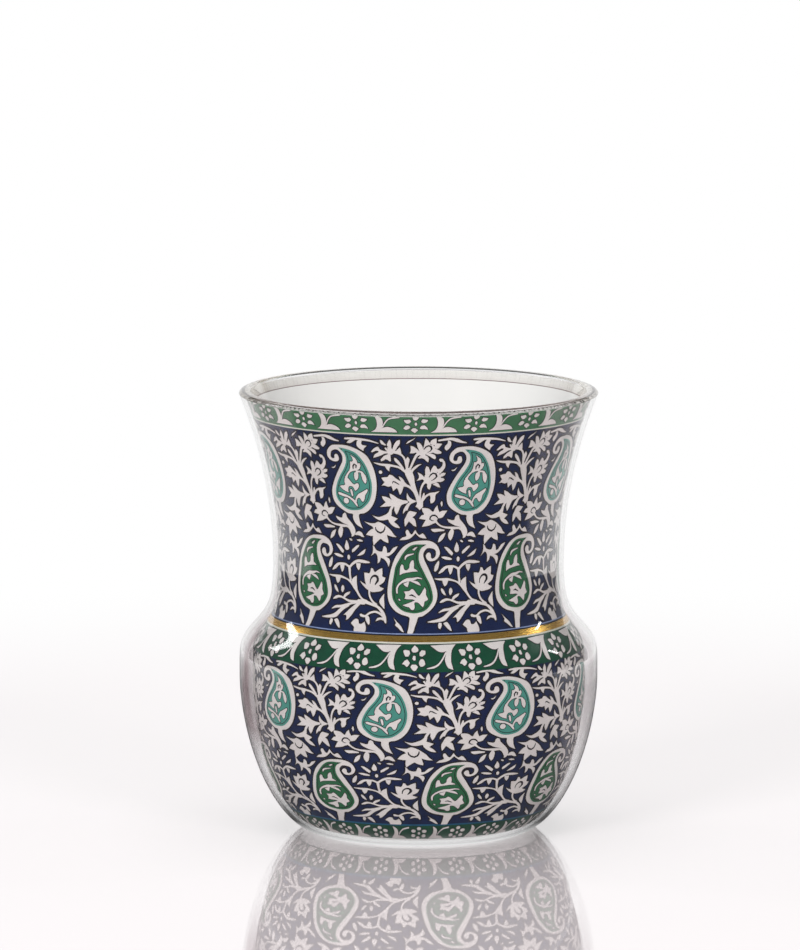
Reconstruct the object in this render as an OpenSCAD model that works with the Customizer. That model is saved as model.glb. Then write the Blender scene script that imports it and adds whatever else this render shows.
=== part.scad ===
// Double-walled tea glass with a flared neck, a gold waist band and a round belly.
// A clear outer glass surrounds a white opal inner cup that carries the printed paisley pattern.
// Both are held together at the rim by a clear collar. The origin is at the middle of the foot.

/* [Overall] */
// Height from the foot to the top of the rim
glass_h = 88.6; // [75:0.1:105]
// Height of the narrowest place of the neck
waist_z = 53; // [49:0.5:57]
// Height of the widest place of the belly
belly_z = 31; // [27:0.5:33]

/* [Outer glass] */
// Diameter of the rim
rim_d = 72.2; // [71.4:0.1:78]
// Outer diameter at the waist
waist_d = 58; // [58:0.1:62]
// Outer diameter at the belly
belly_d = 71.6; // [70.4:0.1:76]
// Diameter of the flat face that the glass stands on
foot_d = 42.6; // [42:0.1:46]
// Thickness of the clear wall
outer_wall = 0.6; // [0.5:0.05:0.9]

/* [Inner cup] */
// Air between the outer glass and the cup's bare wall, at the rim
rim_air = 0.7; // [0.7:0.1:2]
// The same at the waist
waist_air = 0.8; // [0.5:0.05:2]
// The same at the belly
belly_air = 2.3; // [1:0.1:3]
// The same at the foot
foot_air = 0.7; // [0.3:0.1:2]
// Thickness of the opal wall
cup_wall = 1.1; // [0.8:0.1:2]
// Air gap between the bottoms of the two vessels
foot_gap = 0.4; // [0.1:0.05:0.5]

/* [Rim collar] */
// Depth of the clear collar below the top of the rim, on the drinking side
collar_h = 2.6; // [2:0.1:5]
// Height of the rounded lip above its seat on the outer glass
lip_h = 0.75; // [0.6:0.05:1.2]
// Thickness of the bond line between collar and cup
seam_h = 0.15; // [0.1:0.05:0.3]
// Clearance between the top edge of the print and the collar
print_gap = 0.1; // [0.1:0.05:0.4]

/* [Printed layers] */
// Thickness of the white ground under the colours
white_t = 0.1; // [0.06:0.01:0.12]
// Thickness of the colour grounds and fine lines
colour_t = 0.1; // [0.06:0.01:0.12]
// Thickness of the gold band
gold_t = 0.16; // [0.08:0.01:0.2]
// Height of the green border below the rim
top_border_h = 3.65; // [3:0.05:5]
// Height of the fine line under the top border
border_line_h = 0.25; // [0.2:0.05:0.5]
// Height of the middle of the gold band
gold_z = 42.7; // [41:0.1:44]
// Height of the gold band
gold_h = 1.15; // [0.8:0.05:2]
// Height of the dark line above the gold band
dark_line_h = 0.3; // [0.2:0.05:0.8]
// Height of the light blue line over the dark line
blue_line_h = 0.2; // [0.15:0.01:0.4]
// Height of the pale line under the gold band
pale_line_h = 0.3; // [0.15:0.01:0.5]
// Height of the green border on the shoulder
shoulder_border_h = 5; // [4:0.1:6]
// Height of the bare rim of the cup's bottom, under the print
bare_h = 1.3; // [0.5:0.1:2]
// Height of the green border above the foot
foot_border_h = 3.1; // [2.5:0.1:5]
// Height of the blue line over the foot border
foot_line_h = 0.3; // [0.2:0.05:0.5]

/* [Motifs] */
// Thickness of each motif layer
motif_t = 0.1; // [0.05:0.01:0.12]
// Number of paisleys in a row
paisley_count = 8; // [6:1:8]
// Width of the paisleys on the neck
neck_paisley_w = 9.7; // [8:0.1:10.5]
// Width of the teal paisleys on the belly
belly_teal_w = 11.2; // [9:0.1:11.5]
// Width of the green paisleys on the belly
belly_green_w = 10.4; // [8:0.1:11]

/* [Hidden] */
$fn = 96;

// How the curves run: powers of the superellipse below, of the S curve and of the flare
outer_belly_power = 1.75;
outer_shoulder_share = 0.505;
outer_shoulder_power = 5.6;
outer_flare_power = 2.05;
cup_belly_power = 1.9;
cup_shoulder_share = 0.485;
cup_shoulder_power = 5.5;
cup_flare_power = 2.05;

// Where each row of paisleys starts, as a turn about the axis from the front
neck_teal_turn = 19.8;
neck_green_turn = -2.6;
belly_teal_turn = 33.1;
belly_green_turn = 11.2;

// Underside and top of each row, as shares of the height of its navy ground
neck_teal_shares = [0.592, 0.941];
neck_green_shares = [0.081, 0.464];
belly_teal_shares = [0.56, 0.95];
belly_green_shares = [0.064, 0.419];

// Outline of a teal paisley with its hook and stem: shares of its width and height
teal_body_shares = [
    [0.14, -0.21], [0.1, -0.15], [0.08, -0.09], [0.08, -0.01], [0.19, 0.01], [0.3, 0.06],
    [0.39, 0.14], [0.45, 0.23], [0.49, 0.34], [0.51, 0.46], [0.5, 0.61], [0.45, 0.75],
    [0.37, 0.86], [0.26, 0.92], [0.11, 0.97], [-0.06, 1], [-0.22, 1], [-0.36, 0.99],
    [-0.43, 0.96], [-0.49, 0.91], [-0.51, 0.86], [-0.5, 0.81], [-0.45, 0.77], [-0.38, 0.75],
    [-0.31, 0.75], [-0.26, 0.77], [-0.25, 0.81], [-0.27, 0.85], [-0.31, 0.86], [-0.34, 0.84],
    [-0.35, 0.8], [-0.39, 0.79], [-0.43, 0.81], [-0.43, 0.85], [-0.41, 0.89], [-0.35, 0.92],
    [-0.28, 0.93], [-0.22, 0.91], [-0.17, 0.86], [-0.16, 0.81], [-0.18, 0.75], [-0.24, 0.68],
    [-0.36, 0.54], [-0.45, 0.41], [-0.49, 0.32], [-0.49, 0.24], [-0.46, 0.16], [-0.38, 0.09],
    [-0.27, 0.04], [-0.16, 0], [-0.06, -0.01], [-0.06, -0.06], [-0.03, -0.12], [0.03, -0.17]];
// Outline of the coloured field inside it, in the same shares
teal_field_shares = [
    [-0.21, 0.96], [-0.09, 0.95], [0.03, 0.93], [0.15, 0.89], [0.24, 0.82], [0.31, 0.74],
    [0.36, 0.65], [0.39, 0.56], [0.41, 0.46], [0.4, 0.36], [0.38, 0.29], [0.33, 0.2],
    [0.25, 0.13], [0.14, 0.07], [0.01, 0.05], [-0.11, 0.05], [-0.22, 0.08], [-0.31, 0.14],
    [-0.38, 0.21], [-0.4, 0.29], [-0.38, 0.37], [-0.33, 0.46], [-0.26, 0.55], [-0.16, 0.65],
    [-0.09, 0.75], [-0.08, 0.82], [-0.1, 0.88], [-0.15, 0.92]];
// The green paisley, rounder below and hooked to the other side
green_body_shares = [
    [-0.1, -0.21], [0.01, -0.21], [0.05, -0.13], [0.09, -0.06], [0.12, 0], [0.2, 0.01],
    [0.29, 0.05], [0.38, 0.1], [0.45, 0.16], [0.49, 0.23], [0.5, 0.3], [0.48, 0.37],
    [0.43, 0.47], [0.37, 0.56], [0.31, 0.65], [0.25, 0.73], [0.22, 0.79], [0.22, 0.83],
    [0.25, 0.87], [0.3, 0.9], [0.37, 0.9], [0.43, 0.89], [0.47, 0.86], [0.47, 0.81],
    [0.45, 0.78], [0.4, 0.76], [0.37, 0.78], [0.37, 0.81], [0.35, 0.84], [0.31, 0.84],
    [0.28, 0.82], [0.27, 0.79], [0.3, 0.75], [0.35, 0.73], [0.41, 0.73], [0.48, 0.75],
    [0.53, 0.79], [0.55, 0.84], [0.53, 0.89], [0.49, 0.94], [0.41, 0.98], [0.31, 1],
    [0.19, 1], [0.05, 0.99], [-0.08, 0.96], [-0.19, 0.91], [-0.29, 0.83], [-0.36, 0.75],
    [-0.42, 0.64], [-0.46, 0.53], [-0.49, 0.41], [-0.5, 0.31], [-0.48, 0.21], [-0.43, 0.14],
    [-0.33, 0.07], [-0.21, 0.03], [-0.06, 0], [-0.06, -0.06], [-0.07, -0.13]];
green_field_shares = [
    [0.28, 0.95], [0.16, 0.95], [0.06, 0.95], [-0.04, 0.93], [-0.13, 0.88], [-0.21, 0.81],
    [-0.28, 0.73], [-0.34, 0.65], [-0.37, 0.54], [-0.4, 0.43], [-0.41, 0.33], [-0.4, 0.25],
    [-0.36, 0.19], [-0.29, 0.13], [-0.19, 0.08], [-0.08, 0.06], [0.03, 0.05], [0.15, 0.06],
    [0.26, 0.09], [0.34, 0.14], [0.4, 0.21], [0.41, 0.27], [0.39, 0.34], [0.35, 0.43],
    [0.28, 0.52], [0.22, 0.6], [0.16, 0.68], [0.13, 0.75], [0.13, 0.82], [0.15, 0.87],
    [0.19, 0.91]];

// Step used to find the direction of a wall
probe = 0.02;

// The cup's diameters on its printed side
cup_rim_d = rim_d - 2 * (outer_wall + rim_air);
cup_waist_d = waist_d - 2 * (outer_wall + waist_air);
cup_belly_d = belly_d - 2 * (outer_wall + belly_air);
cup_foot_d = foot_d - 2 * (outer_wall + foot_air);

// Depth over the cup's wall at which the motifs start, on top of both grounds
ground_depth = white_t + colour_t;

// Cutters for the motifs start well inside the cup and reach past the outer glass
cutter_start = cup_waist_d / 4;
cutter_reach = belly_d / 2;

// How many straight pieces each stretch of wall is drawn in
outer_belly_steps = 20;
outer_shoulder_steps = 20;
outer_neck_steps = 14;
bare_steps = 5;
foot_steps = 4;
belly_steps = 22;
shoulder_steps = 8;
gold_steps = 2;
waist_steps = 8;
flare_steps = 12;
top_border_steps = 3;
collar_steps = 2;
lip_steps = 12;
// Power that crowds the samples where the foot turns up into the wall
foot_crowding = 2;

// Heights of the seams and of the edges of the printed bands, from the rim down
collar_seat_z = glass_h - lip_h;
seam_z = glass_h - collar_h;
cup_top_z = seam_z - seam_h;
print_top_z = collar_seat_z - print_gap;
top_border_z = print_top_z - top_border_h;
top_line_z = top_border_z - border_line_h;
gold_top_z = gold_z + gold_h / 2;
gold_bottom_z = gold_z - gold_h / 2;
dark_line_top_z = gold_top_z + dark_line_h;
blue_line_top_z = dark_line_top_z + blue_line_h;
pale_line_z = gold_bottom_z - pale_line_h;
shoulder_border_z = pale_line_z - shoulder_border_h;
cup_foot_z = outer_wall + foot_gap;
print_foot_z = cup_foot_z + bare_h;
foot_border_top_z = print_foot_z + foot_border_h;
foot_line_top_z = foot_border_top_z + foot_line_h;

// Lower body: a quarter of a superellipse from the foot out to the belly
function belly_curve(z, foot_r, foot_z, belly_r, power) =
    let (drop = min(1, max(0, (belly_z - z) / (belly_z - foot_z))))
    foot_r + (belly_r - foot_r) * pow(1 - pow(drop, power), 1 / power);

// Shoulder: an S curve from the belly in to the waist
function fall(t, share, power) = 1 / (1 + pow(t / share, power));
function shoulder_curve(z, belly_r, waist_r, share, power) =
    let (t = (z - belly_z) / (waist_z - belly_z),
        rest = fall(1, share, power))
    waist_r + (belly_r - waist_r) * (fall(t, share, power) - rest) / (1 - rest);

// Neck: flares from the waist out to the rim
function neck_curve(z, waist_r, rim_r, power) =
    waist_r + (rim_r - waist_r) * pow((z - waist_z) / (glass_h - waist_z), power);

function outer_r(z) =
    z < belly_z ? belly_curve(z, foot_d / 2, 0, belly_d / 2, outer_belly_power)
    : z < waist_z ? shoulder_curve(z, belly_d / 2, waist_d / 2, outer_shoulder_share,
        outer_shoulder_power)
    : neck_curve(z, waist_d / 2, rim_d / 2, outer_flare_power);

function cup_r(z) =
    z < belly_z ? belly_curve(z, cup_foot_d / 2, cup_foot_z, cup_belly_d / 2, cup_belly_power)
    : z < waist_z ? shoulder_curve(z, cup_belly_d / 2, cup_waist_d / 2, cup_shoulder_share,
        cup_shoulder_power)
    : neck_curve(z, cup_waist_d / 2, cup_rim_d / 2, cup_flare_power);

// A point of a wall moved square to it by depth, outwards where depth is positive
function moved(below, here, above, z, depth) =
    let (run = [above - below, 2 * probe])
    [here, z] + depth * [run[1], -run[0]] / norm(run);
function outer_point(z, depth) =
    moved(outer_r(z - probe), outer_r(z), outer_r(z + probe), z, depth);
function cup_point(z, depth) =
    moved(cup_r(z - probe), cup_r(z), cup_r(z + probe), z, depth);

// Heights from low to high; a power over 1 crowds them at the low end
function heights(low, high, steps, power = 1) =
    [for (i = [0:steps]) low + (high - low) * pow(i / steps, power)];
function reversed(list) = [for (i = [len(list) - 1:-1:0]) list[i]];

// Where the walls are sampled; bands that touch share their samples
outer_heights = concat(heights(0, belly_z, outer_belly_steps, foot_crowding),
    heights(belly_z, waist_z, outer_shoulder_steps),
    heights(waist_z, collar_seat_z, outer_neck_steps));
bare_heights = heights(cup_foot_z, print_foot_z, bare_steps, foot_crowding);
foot_heights = heights(print_foot_z, foot_border_top_z, foot_steps);
foot_line_heights = [foot_border_top_z, foot_line_top_z];
belly_heights = heights(foot_line_top_z, shoulder_border_z, belly_steps);
shoulder_heights = heights(shoulder_border_z, pale_line_z, shoulder_steps);
pale_line_heights = [pale_line_z, gold_bottom_z];
gold_heights = heights(gold_bottom_z, gold_top_z, gold_steps);
dark_line_heights = [gold_top_z, dark_line_top_z];
blue_line_heights = [dark_line_top_z, blue_line_top_z];
neck_heights = concat(heights(blue_line_top_z, waist_z, waist_steps),
    heights(waist_z, top_line_z, flare_steps));
top_line_heights = [top_line_z, top_border_z];
top_border_heights = heights(top_border_z, cup_top_z, top_border_steps);
seam_heights = [cup_top_z, seam_z];
collar_heights = heights(seam_z, print_top_z, collar_steps);
belly_print_heights = concat(foot_heights, belly_heights, shoulder_heights, gold_heights);
neck_print_heights = concat(dark_line_heights, blue_line_heights, neck_heights,
    top_line_heights, top_border_heights, seam_heights, collar_heights);
cup_heights = concat(bare_heights, belly_print_heights, dark_line_heights, blue_line_heights, neck_heights,
    top_line_heights, top_border_heights);

// Outline of a printed layer between two depths over the cup's wall
function layer_outline(levels, inner_depth, outer_depth) =
    concat([for (z = levels) cup_point(z, outer_depth)],
        [for (z = reversed(levels)) cup_point(z, inner_depth)]);

module layer(levels, inner_depth, outer_depth) {
    rotate_extrude()
        polygon(layer_outline(levels, inner_depth, outer_depth));
}

// One row of paisleys or fields: shapes cut through a thin layer, square to the axis.
// row_shares say where the row's underside and top lie between the ends of the levels.
module motif_row(outline_shares, row_shares, width, turn, levels, depth) {
    ground_z = levels[0];
    ground_h = levels[len(levels) - 1] - ground_z;
    low_z = ground_z + row_shares[0] * ground_h;
    high_z = ground_z + row_shares[1] * ground_h;
    tall = high_z - low_z;
    stem_z = low_z + min([for (share = outline_shares) share[1]]) * tall;
    near = [for (i = [0:len(levels) - 1])
        if (levels[min(i + 1, len(levels) - 1)] > stem_z && levels[max(i - 1, 0)] < high_z)
            levels[i]];
    for (i = [0:paisley_count - 1])
        intersection() {
            layer(near, depth, depth + motif_t);
            rotate(turn + 360 * i / paisley_count)
                translate([0, -cutter_start, 0])
                    rotate([90, 0, 0])
                        linear_extrude(cutter_reach)
                            polygon([for (share = outline_shares)
                                [share[0] * width, low_z + share[1] * tall]]);
        }
}

module colour_layer(levels) {
    layer(levels, white_t, ground_depth);
}

// Clear outer vessel: a closed foot, one thin wall, open at the top
module outer_glass() {
    color([0.86, 0.9, 0.92, 0.35])
        rotate_extrude()
            polygon(concat([[0, 0]],
                [for (z = outer_heights) outer_point(z, 0)],
                [for (z = reversed(outer_heights)) outer_point(z, -outer_wall)],
                [[0, outer_wall]]));
}

// White opal vessel that holds the tea
module inner_cup() {
    color([0.96, 0.95, 0.94])
        rotate_extrude()
            polygon(concat([[0, cup_foot_z]],
                [for (z = cup_heights) cup_point(z, 0)],
                [for (z = reversed(cup_heights)) cup_point(z, -cup_wall)],
                [[0, cup_foot_z + cup_wall]]));
}

// Clear collar: carries on the cup's wall, bridges to the outer glass and ends in a round lip
module rim_collar() {
    lip_out = outer_point(collar_seat_z, 0);
    lip_in = cup_point(print_top_z, -cup_wall);
    lip_middle = (lip_out + lip_in) / 2;
    lip_rise = glass_h - lip_middle[1];
    color([0.88, 0.9, 0.9, 0.4])
        rotate_extrude()
            polygon(concat(
                [for (z = collar_heights) cup_point(z, 0)],
                [cup_point(collar_seat_z, 0), outer_point(collar_seat_z, -outer_wall)],
                [for (i = [0:lip_steps - 1]) let (turn = 180 * i / lip_steps)
                    lip_middle + (lip_out - lip_middle) * cos(turn) + [0, lip_rise * sin(turn)]],
                [for (z = reversed(collar_heights)) cup_point(z, -cup_wall)]));
}

// Bond line between the collar and the opal cup
module rim_seam() {
    color([0.68, 0.62, 0.62])
        layer(seam_heights, -cup_wall, 0);
}

module neck_white_ground() {
    color([0.97, 0.96, 0.94])
        layer(neck_print_heights, 0, white_t);
}

module belly_white_ground() {
    color([0.97, 0.96, 0.94])
        layer(belly_print_heights, 0, white_t);
}

module top_border_ground() {
    color([0.16, 0.48, 0.3])
        colour_layer(concat(top_border_heights, seam_heights, collar_heights));
}

module top_border_line() {
    color([0.88, 0.87, 0.85])
        colour_layer(top_line_heights);
}

module neck_ground() {
    color([0.13, 0.17, 0.4])
        colour_layer(neck_heights);
}

module waist_blue_line() {
    color([0.55, 0.62, 0.78])
        colour_layer(blue_line_heights);
}

module waist_dark_line() {
    color([0.06, 0.07, 0.1])
        colour_layer(dark_line_heights);
}

// Burnished gold band in the hollow between neck and shoulder
module waist_gold_band() {
    color([0.78, 0.6, 0.2])
        layer(gold_heights, white_t, white_t + gold_t);
}

module waist_pale_line() {
    color([0.8, 0.82, 0.74])
        colour_layer(pale_line_heights);
}

module shoulder_border_ground() {
    color([0.1, 0.4, 0.28])
        colour_layer(shoulder_heights);
}

module belly_ground() {
    color([0.12, 0.16, 0.38])
        colour_layer(belly_heights);
}

module foot_border_line() {
    color([0.1, 0.35, 0.5])
        colour_layer(foot_line_heights);
}

module foot_border_ground() {
    color([0.1, 0.38, 0.24])
        colour_layer(foot_heights);
}

// Cream bodies, with the coloured fields laid on them
module neck_teal_paisleys() {
    color([0.89, 0.86, 0.82])
        motif_row(teal_body_shares, neck_teal_shares, neck_paisley_w, neck_teal_turn,
            neck_heights, ground_depth);
}

module neck_teal_fields() {
    color([0.24, 0.62, 0.55])
        motif_row(teal_field_shares, neck_teal_shares, neck_paisley_w, neck_teal_turn,
            neck_heights, ground_depth + motif_t);
}

module neck_green_paisleys() {
    color([0.89, 0.86, 0.82])
        motif_row(green_body_shares, neck_green_shares, neck_paisley_w, neck_green_turn,
            neck_heights, ground_depth);
}

module neck_green_fields() {
    color([0.13, 0.48, 0.24])
        motif_row(green_field_shares, neck_green_shares, neck_paisley_w, neck_green_turn,
            neck_heights, ground_depth + motif_t);
}

module belly_teal_paisleys() {
    color([0.88, 0.85, 0.82])
        motif_row(teal_body_shares, belly_teal_shares, belly_teal_w, belly_teal_turn,
            belly_heights, ground_depth);
}

module belly_teal_fields() {
    color([0.22, 0.6, 0.53])
        motif_row(teal_field_shares, belly_teal_shares, belly_teal_w, belly_teal_turn,
            belly_heights, ground_depth + motif_t);
}

module belly_green_paisleys() {
    color([0.88, 0.85, 0.82])
        motif_row(green_body_shares, belly_green_shares, belly_green_w, belly_green_turn,
            belly_heights, ground_depth);
}

module belly_green_fields() {
    color([0.12, 0.46, 0.23])
        motif_row(green_field_shares, belly_green_shares, belly_green_w, belly_green_turn,
            belly_heights, ground_depth + motif_t);
}

outer_glass();
inner_cup();
rim_collar();
rim_seam();
neck_white_ground();
belly_white_ground();
top_border_ground();
top_border_line();
neck_ground();
waist_blue_line();
waist_dark_line();
waist_gold_band();
waist_pale_line();
shoulder_border_ground();
belly_ground();
foot_border_line();
foot_border_ground();
neck_teal_paisleys();
neck_teal_fields();
neck_green_paisleys();
neck_green_fields();
belly_teal_paisleys();
belly_teal_fields();
belly_green_paisleys();
belly_green_fields();
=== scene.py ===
"""Double-walled tea glass: clear outer glass, opal cup and fired print, in a pale studio."""

import math

import bpy
import numpy as np
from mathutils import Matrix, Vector
from mathutils.geometry import delaunay_2d_cdt


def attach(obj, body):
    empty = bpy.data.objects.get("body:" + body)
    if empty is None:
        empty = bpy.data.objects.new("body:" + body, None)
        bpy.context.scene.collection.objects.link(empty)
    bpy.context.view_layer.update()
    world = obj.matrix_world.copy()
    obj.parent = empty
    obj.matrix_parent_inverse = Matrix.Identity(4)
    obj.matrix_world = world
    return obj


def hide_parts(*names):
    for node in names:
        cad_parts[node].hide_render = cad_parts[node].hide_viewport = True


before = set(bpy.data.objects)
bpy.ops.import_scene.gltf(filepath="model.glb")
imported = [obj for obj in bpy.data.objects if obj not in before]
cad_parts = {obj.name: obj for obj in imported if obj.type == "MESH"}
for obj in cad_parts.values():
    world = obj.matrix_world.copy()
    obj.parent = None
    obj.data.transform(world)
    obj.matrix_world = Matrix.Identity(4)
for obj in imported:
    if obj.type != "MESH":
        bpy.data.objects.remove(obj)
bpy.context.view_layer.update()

MM = 0.001
DEGREE = math.pi / 180

# The glass, in mm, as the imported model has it
GLASS_H, WAIST_Z, BELLY_Z = 88.6, 53.0, 31.0
RIM_D, WAIST_D, BELLY_D, FOOT_D = 72.2, 58.0, 71.6, 42.6
OUTER_WALL, CUP_WALL = 0.6, 1.1
CUP_RIM_D = RIM_D - 2 * (OUTER_WALL + 0.7)
CUP_WAIST_D = WAIST_D - 2 * (OUTER_WALL + 0.8)
CUP_BELLY_D = BELLY_D - 2 * (OUTER_WALL + 2.3)
CUP_FOOT_D = FOOT_D - 2 * (OUTER_WALL + 0.7)
CUP_FOOT_Z = OUTER_WALL + 0.4
SEAT_Z = GLASS_H - 0.75
SEAM_Z = GLASS_H - 2.6
CUP_TOP_Z = SEAM_Z - 0.15
PRINT_TOP_Z = SEAT_Z - 0.1
TOP_BORDER_Z = PRINT_TOP_Z - 3.65
TOP_LINE_Z = TOP_BORDER_Z - 0.25
GOLD_TOP_Z, GOLD_Z = 43.275, 42.125
DARK_LINE_TOP_Z = GOLD_TOP_Z + 0.3
BLUE_LINE_TOP_Z = DARK_LINE_TOP_Z + 0.2
PALE_LINE_Z = GOLD_Z - 0.3
SHOULDER_BORDER_Z = PALE_LINE_Z - 5.0
PRINT_FOOT_Z = CUP_FOOT_Z + 1.3
FOOT_BORDER_TOP_Z = PRINT_FOOT_Z + 3.1
FOOT_LINE_TOP_Z = FOOT_BORDER_TOP_Z + 0.3

# Depths over the cup's wall at which each layer of the print starts
WHITE_DEPTH, COLOUR_DEPTH, CREAM_DEPTH, FIELD_DEPTH, SPRIG_DEPTH = 0.0, 0.1, 0.2, 0.3, 0.4
GOLD_DEPTH = COLOUR_DEPTH + 0.16


# Walls

def belly_curve(z, foot_r, foot_z, belly_r, power):
    """Quarter of a superellipse: foot + (belly - foot) (1 - drop^power)^(1/power)."""
    drop = np.clip((BELLY_Z - z) / (BELLY_Z - foot_z), 0, 1)
    return foot_r + (belly_r - foot_r) * (1 - drop ** power) ** (1 / power)


def shoulder_curve(z, belly_r, waist_r, share, power):
    """S curve between belly and waist: 1 / (1 + (t / share)^power), set to run from 1 to 0."""
    t = np.clip((z - BELLY_Z) / (WAIST_Z - BELLY_Z), 0, 1)
    rest = 1 / (1 + (1 / share) ** power)
    return waist_r + (belly_r - waist_r) * (1 / (1 + (t / share) ** power) - rest) / (1 - rest)


def neck_curve(z, waist_r, rim_r, power):
    """Flare from waist to rim: waist + (rim - waist) t^power, t from 0 at the waist to 1 at the rim."""
    t = np.clip((z - WAIST_Z) / (GLASS_H - WAIST_Z), 0, None)
    return waist_r + (rim_r - waist_r) * t ** power


def outer_radius(z):
    """The three curves of the outer glass, each over its own stretch of height."""
    z = np.asarray(z, float)
    low = belly_curve(z, FOOT_D / 2, 0, BELLY_D / 2, 1.75)
    middle = shoulder_curve(z, BELLY_D / 2, WAIST_D / 2, 0.505, 5.6)
    high = neck_curve(z, WAIST_D / 2, RIM_D / 2, 2.05)
    return np.where(z < BELLY_Z, low, np.where(z < WAIST_Z, middle, high))


def cup_radius(z):
    """The three curves of the inner cup, each over its own stretch of height."""
    z = np.asarray(z, float)
    low = belly_curve(z, CUP_FOOT_D / 2, CUP_FOOT_Z, CUP_BELLY_D / 2, 1.9)
    middle = shoulder_curve(z, CUP_BELLY_D / 2, CUP_WAIST_D / 2, 0.485, 5.5)
    high = neck_curve(z, CUP_WAIST_D / 2, CUP_RIM_D / 2, 2.05)
    return np.where(z < BELLY_Z, low, np.where(z < WAIST_Z, middle, high))


def wall_normal(radius, z):
    """Unit normal (across, up) of a wall: the slope between two near heights, turned a quarter."""
    across = radius(z + 0.02) - radius(z - 0.02)
    size = np.hypot(across, 0.04)
    return 0.04 / size, -across / size


def wall(radius, z, depth):
    """Points (r, z) of a wall moved square to it by depth: point + depth * unit normal."""
    z = np.asarray(z, float)
    across, up = wall_normal(radius, z)
    return np.stack([radius(z) + depth * across, z + depth * up], axis=-1)


def stretch(low, high, pitch=0.35, power=1.0):
    """Heights from low to high, low + (high - low) t^power, no more than about a pitch apart."""
    count = max(2, int(math.ceil((high - low) / pitch)) + 1)
    return low + (high - low) * np.linspace(0, 1, count) ** power


# Meshes

def piece(name, points, faces, finish, node=None, smooth=True, crease=35):
    """One mesh object from points in mm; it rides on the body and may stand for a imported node."""
    mesh = bpy.data.meshes.new(name)
    mesh.from_pydata((np.asarray(points) * MM).tolist(), [], faces)
    if smooth:
        mesh.shade_smooth()
        mesh.set_sharp_from_angle(angle=crease * DEGREE)
    mesh.materials.append(finish)
    made = bpy.data.objects.new(name, mesh)
    bpy.context.collection.objects.link(made)
    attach(made, "root")
    if node:
        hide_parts(node)
    return made


def lathe(name, outline, finish, node=None, turns=192, crease=35):
    """Surface of revolution: (r sin a, -r cos a, z) for each point of a closed outline and each turn a."""
    outline = np.asarray(outline, float)
    count = len(outline)
    angle = np.arange(turns) * 2 * math.pi / turns
    on_axis = outline[:, 0] < 1e-6
    index = np.zeros((count, turns), int)
    points = []
    used = 0
    for row in range(count):
        r, z = outline[row]
        if on_axis[row]:
            points.append(np.array([[0, 0, z]]))
            index[row] = used
            used += 1
        else:
            points.append(np.stack([r * np.sin(angle), -r * np.cos(angle), np.full(turns, z)], axis=1))
            index[row] = used + np.arange(turns)
            used += turns
    faces = []
    for row in range(count):
        after = (row + 1) % count
        if on_axis[row] and on_axis[after]:
            continue
        here, there = index[row], index[after]
        quads = np.stack([here, np.roll(here, -1), np.roll(there, -1), there], axis=1)
        if on_axis[row]:
            quads = quads[:, [0, 2, 3]]
        elif on_axis[after]:
            quads = quads[:, [0, 1, 2]]
        faces += quads.tolist()
    return piece(name, np.concatenate(points), faces, finish, node, crease=crease)


def layer(name, low, high, inner, outer, finish, node=None, pitch=0.35):
    """A thin printed ring between two depths over the cup's wall, closed at its two edges."""
    levels = stretch(low, high, pitch)
    outline = np.concatenate([wall(cup_radius, levels, outer), wall(cup_radius, levels[::-1], inner)])
    return lathe(name, outline, finish, node, crease=30)


# Shader maths

class Wire:
    """An output socket; Python's operators on it add Math nodes."""

    def __init__(self, tree, socket):
        self.tree = tree
        self.socket = socket

    def math(self, operation, *values):
        return self.tree.node("Math", {"operation": operation}, *values)["Value"]

    def __add__(self, other):
        return self.math("ADD", self, other)

    def __radd__(self, other):
        return self.math("ADD", other, self)

    def __sub__(self, other):
        return self.math("SUBTRACT", self, other)

    def __rsub__(self, other):
        return self.math("SUBTRACT", other, self)

    def __mul__(self, other):
        return self.math("MULTIPLY", self, other)

    def __rmul__(self, other):
        return self.math("MULTIPLY", other, self)


class Placed:
    """A node that has been placed; its outputs are asked for by name."""

    def __init__(self, tree, made):
        self.tree = tree
        self.made = made

    def __getitem__(self, name):
        return Wire(self.tree, self.made.outputs[name])


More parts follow.
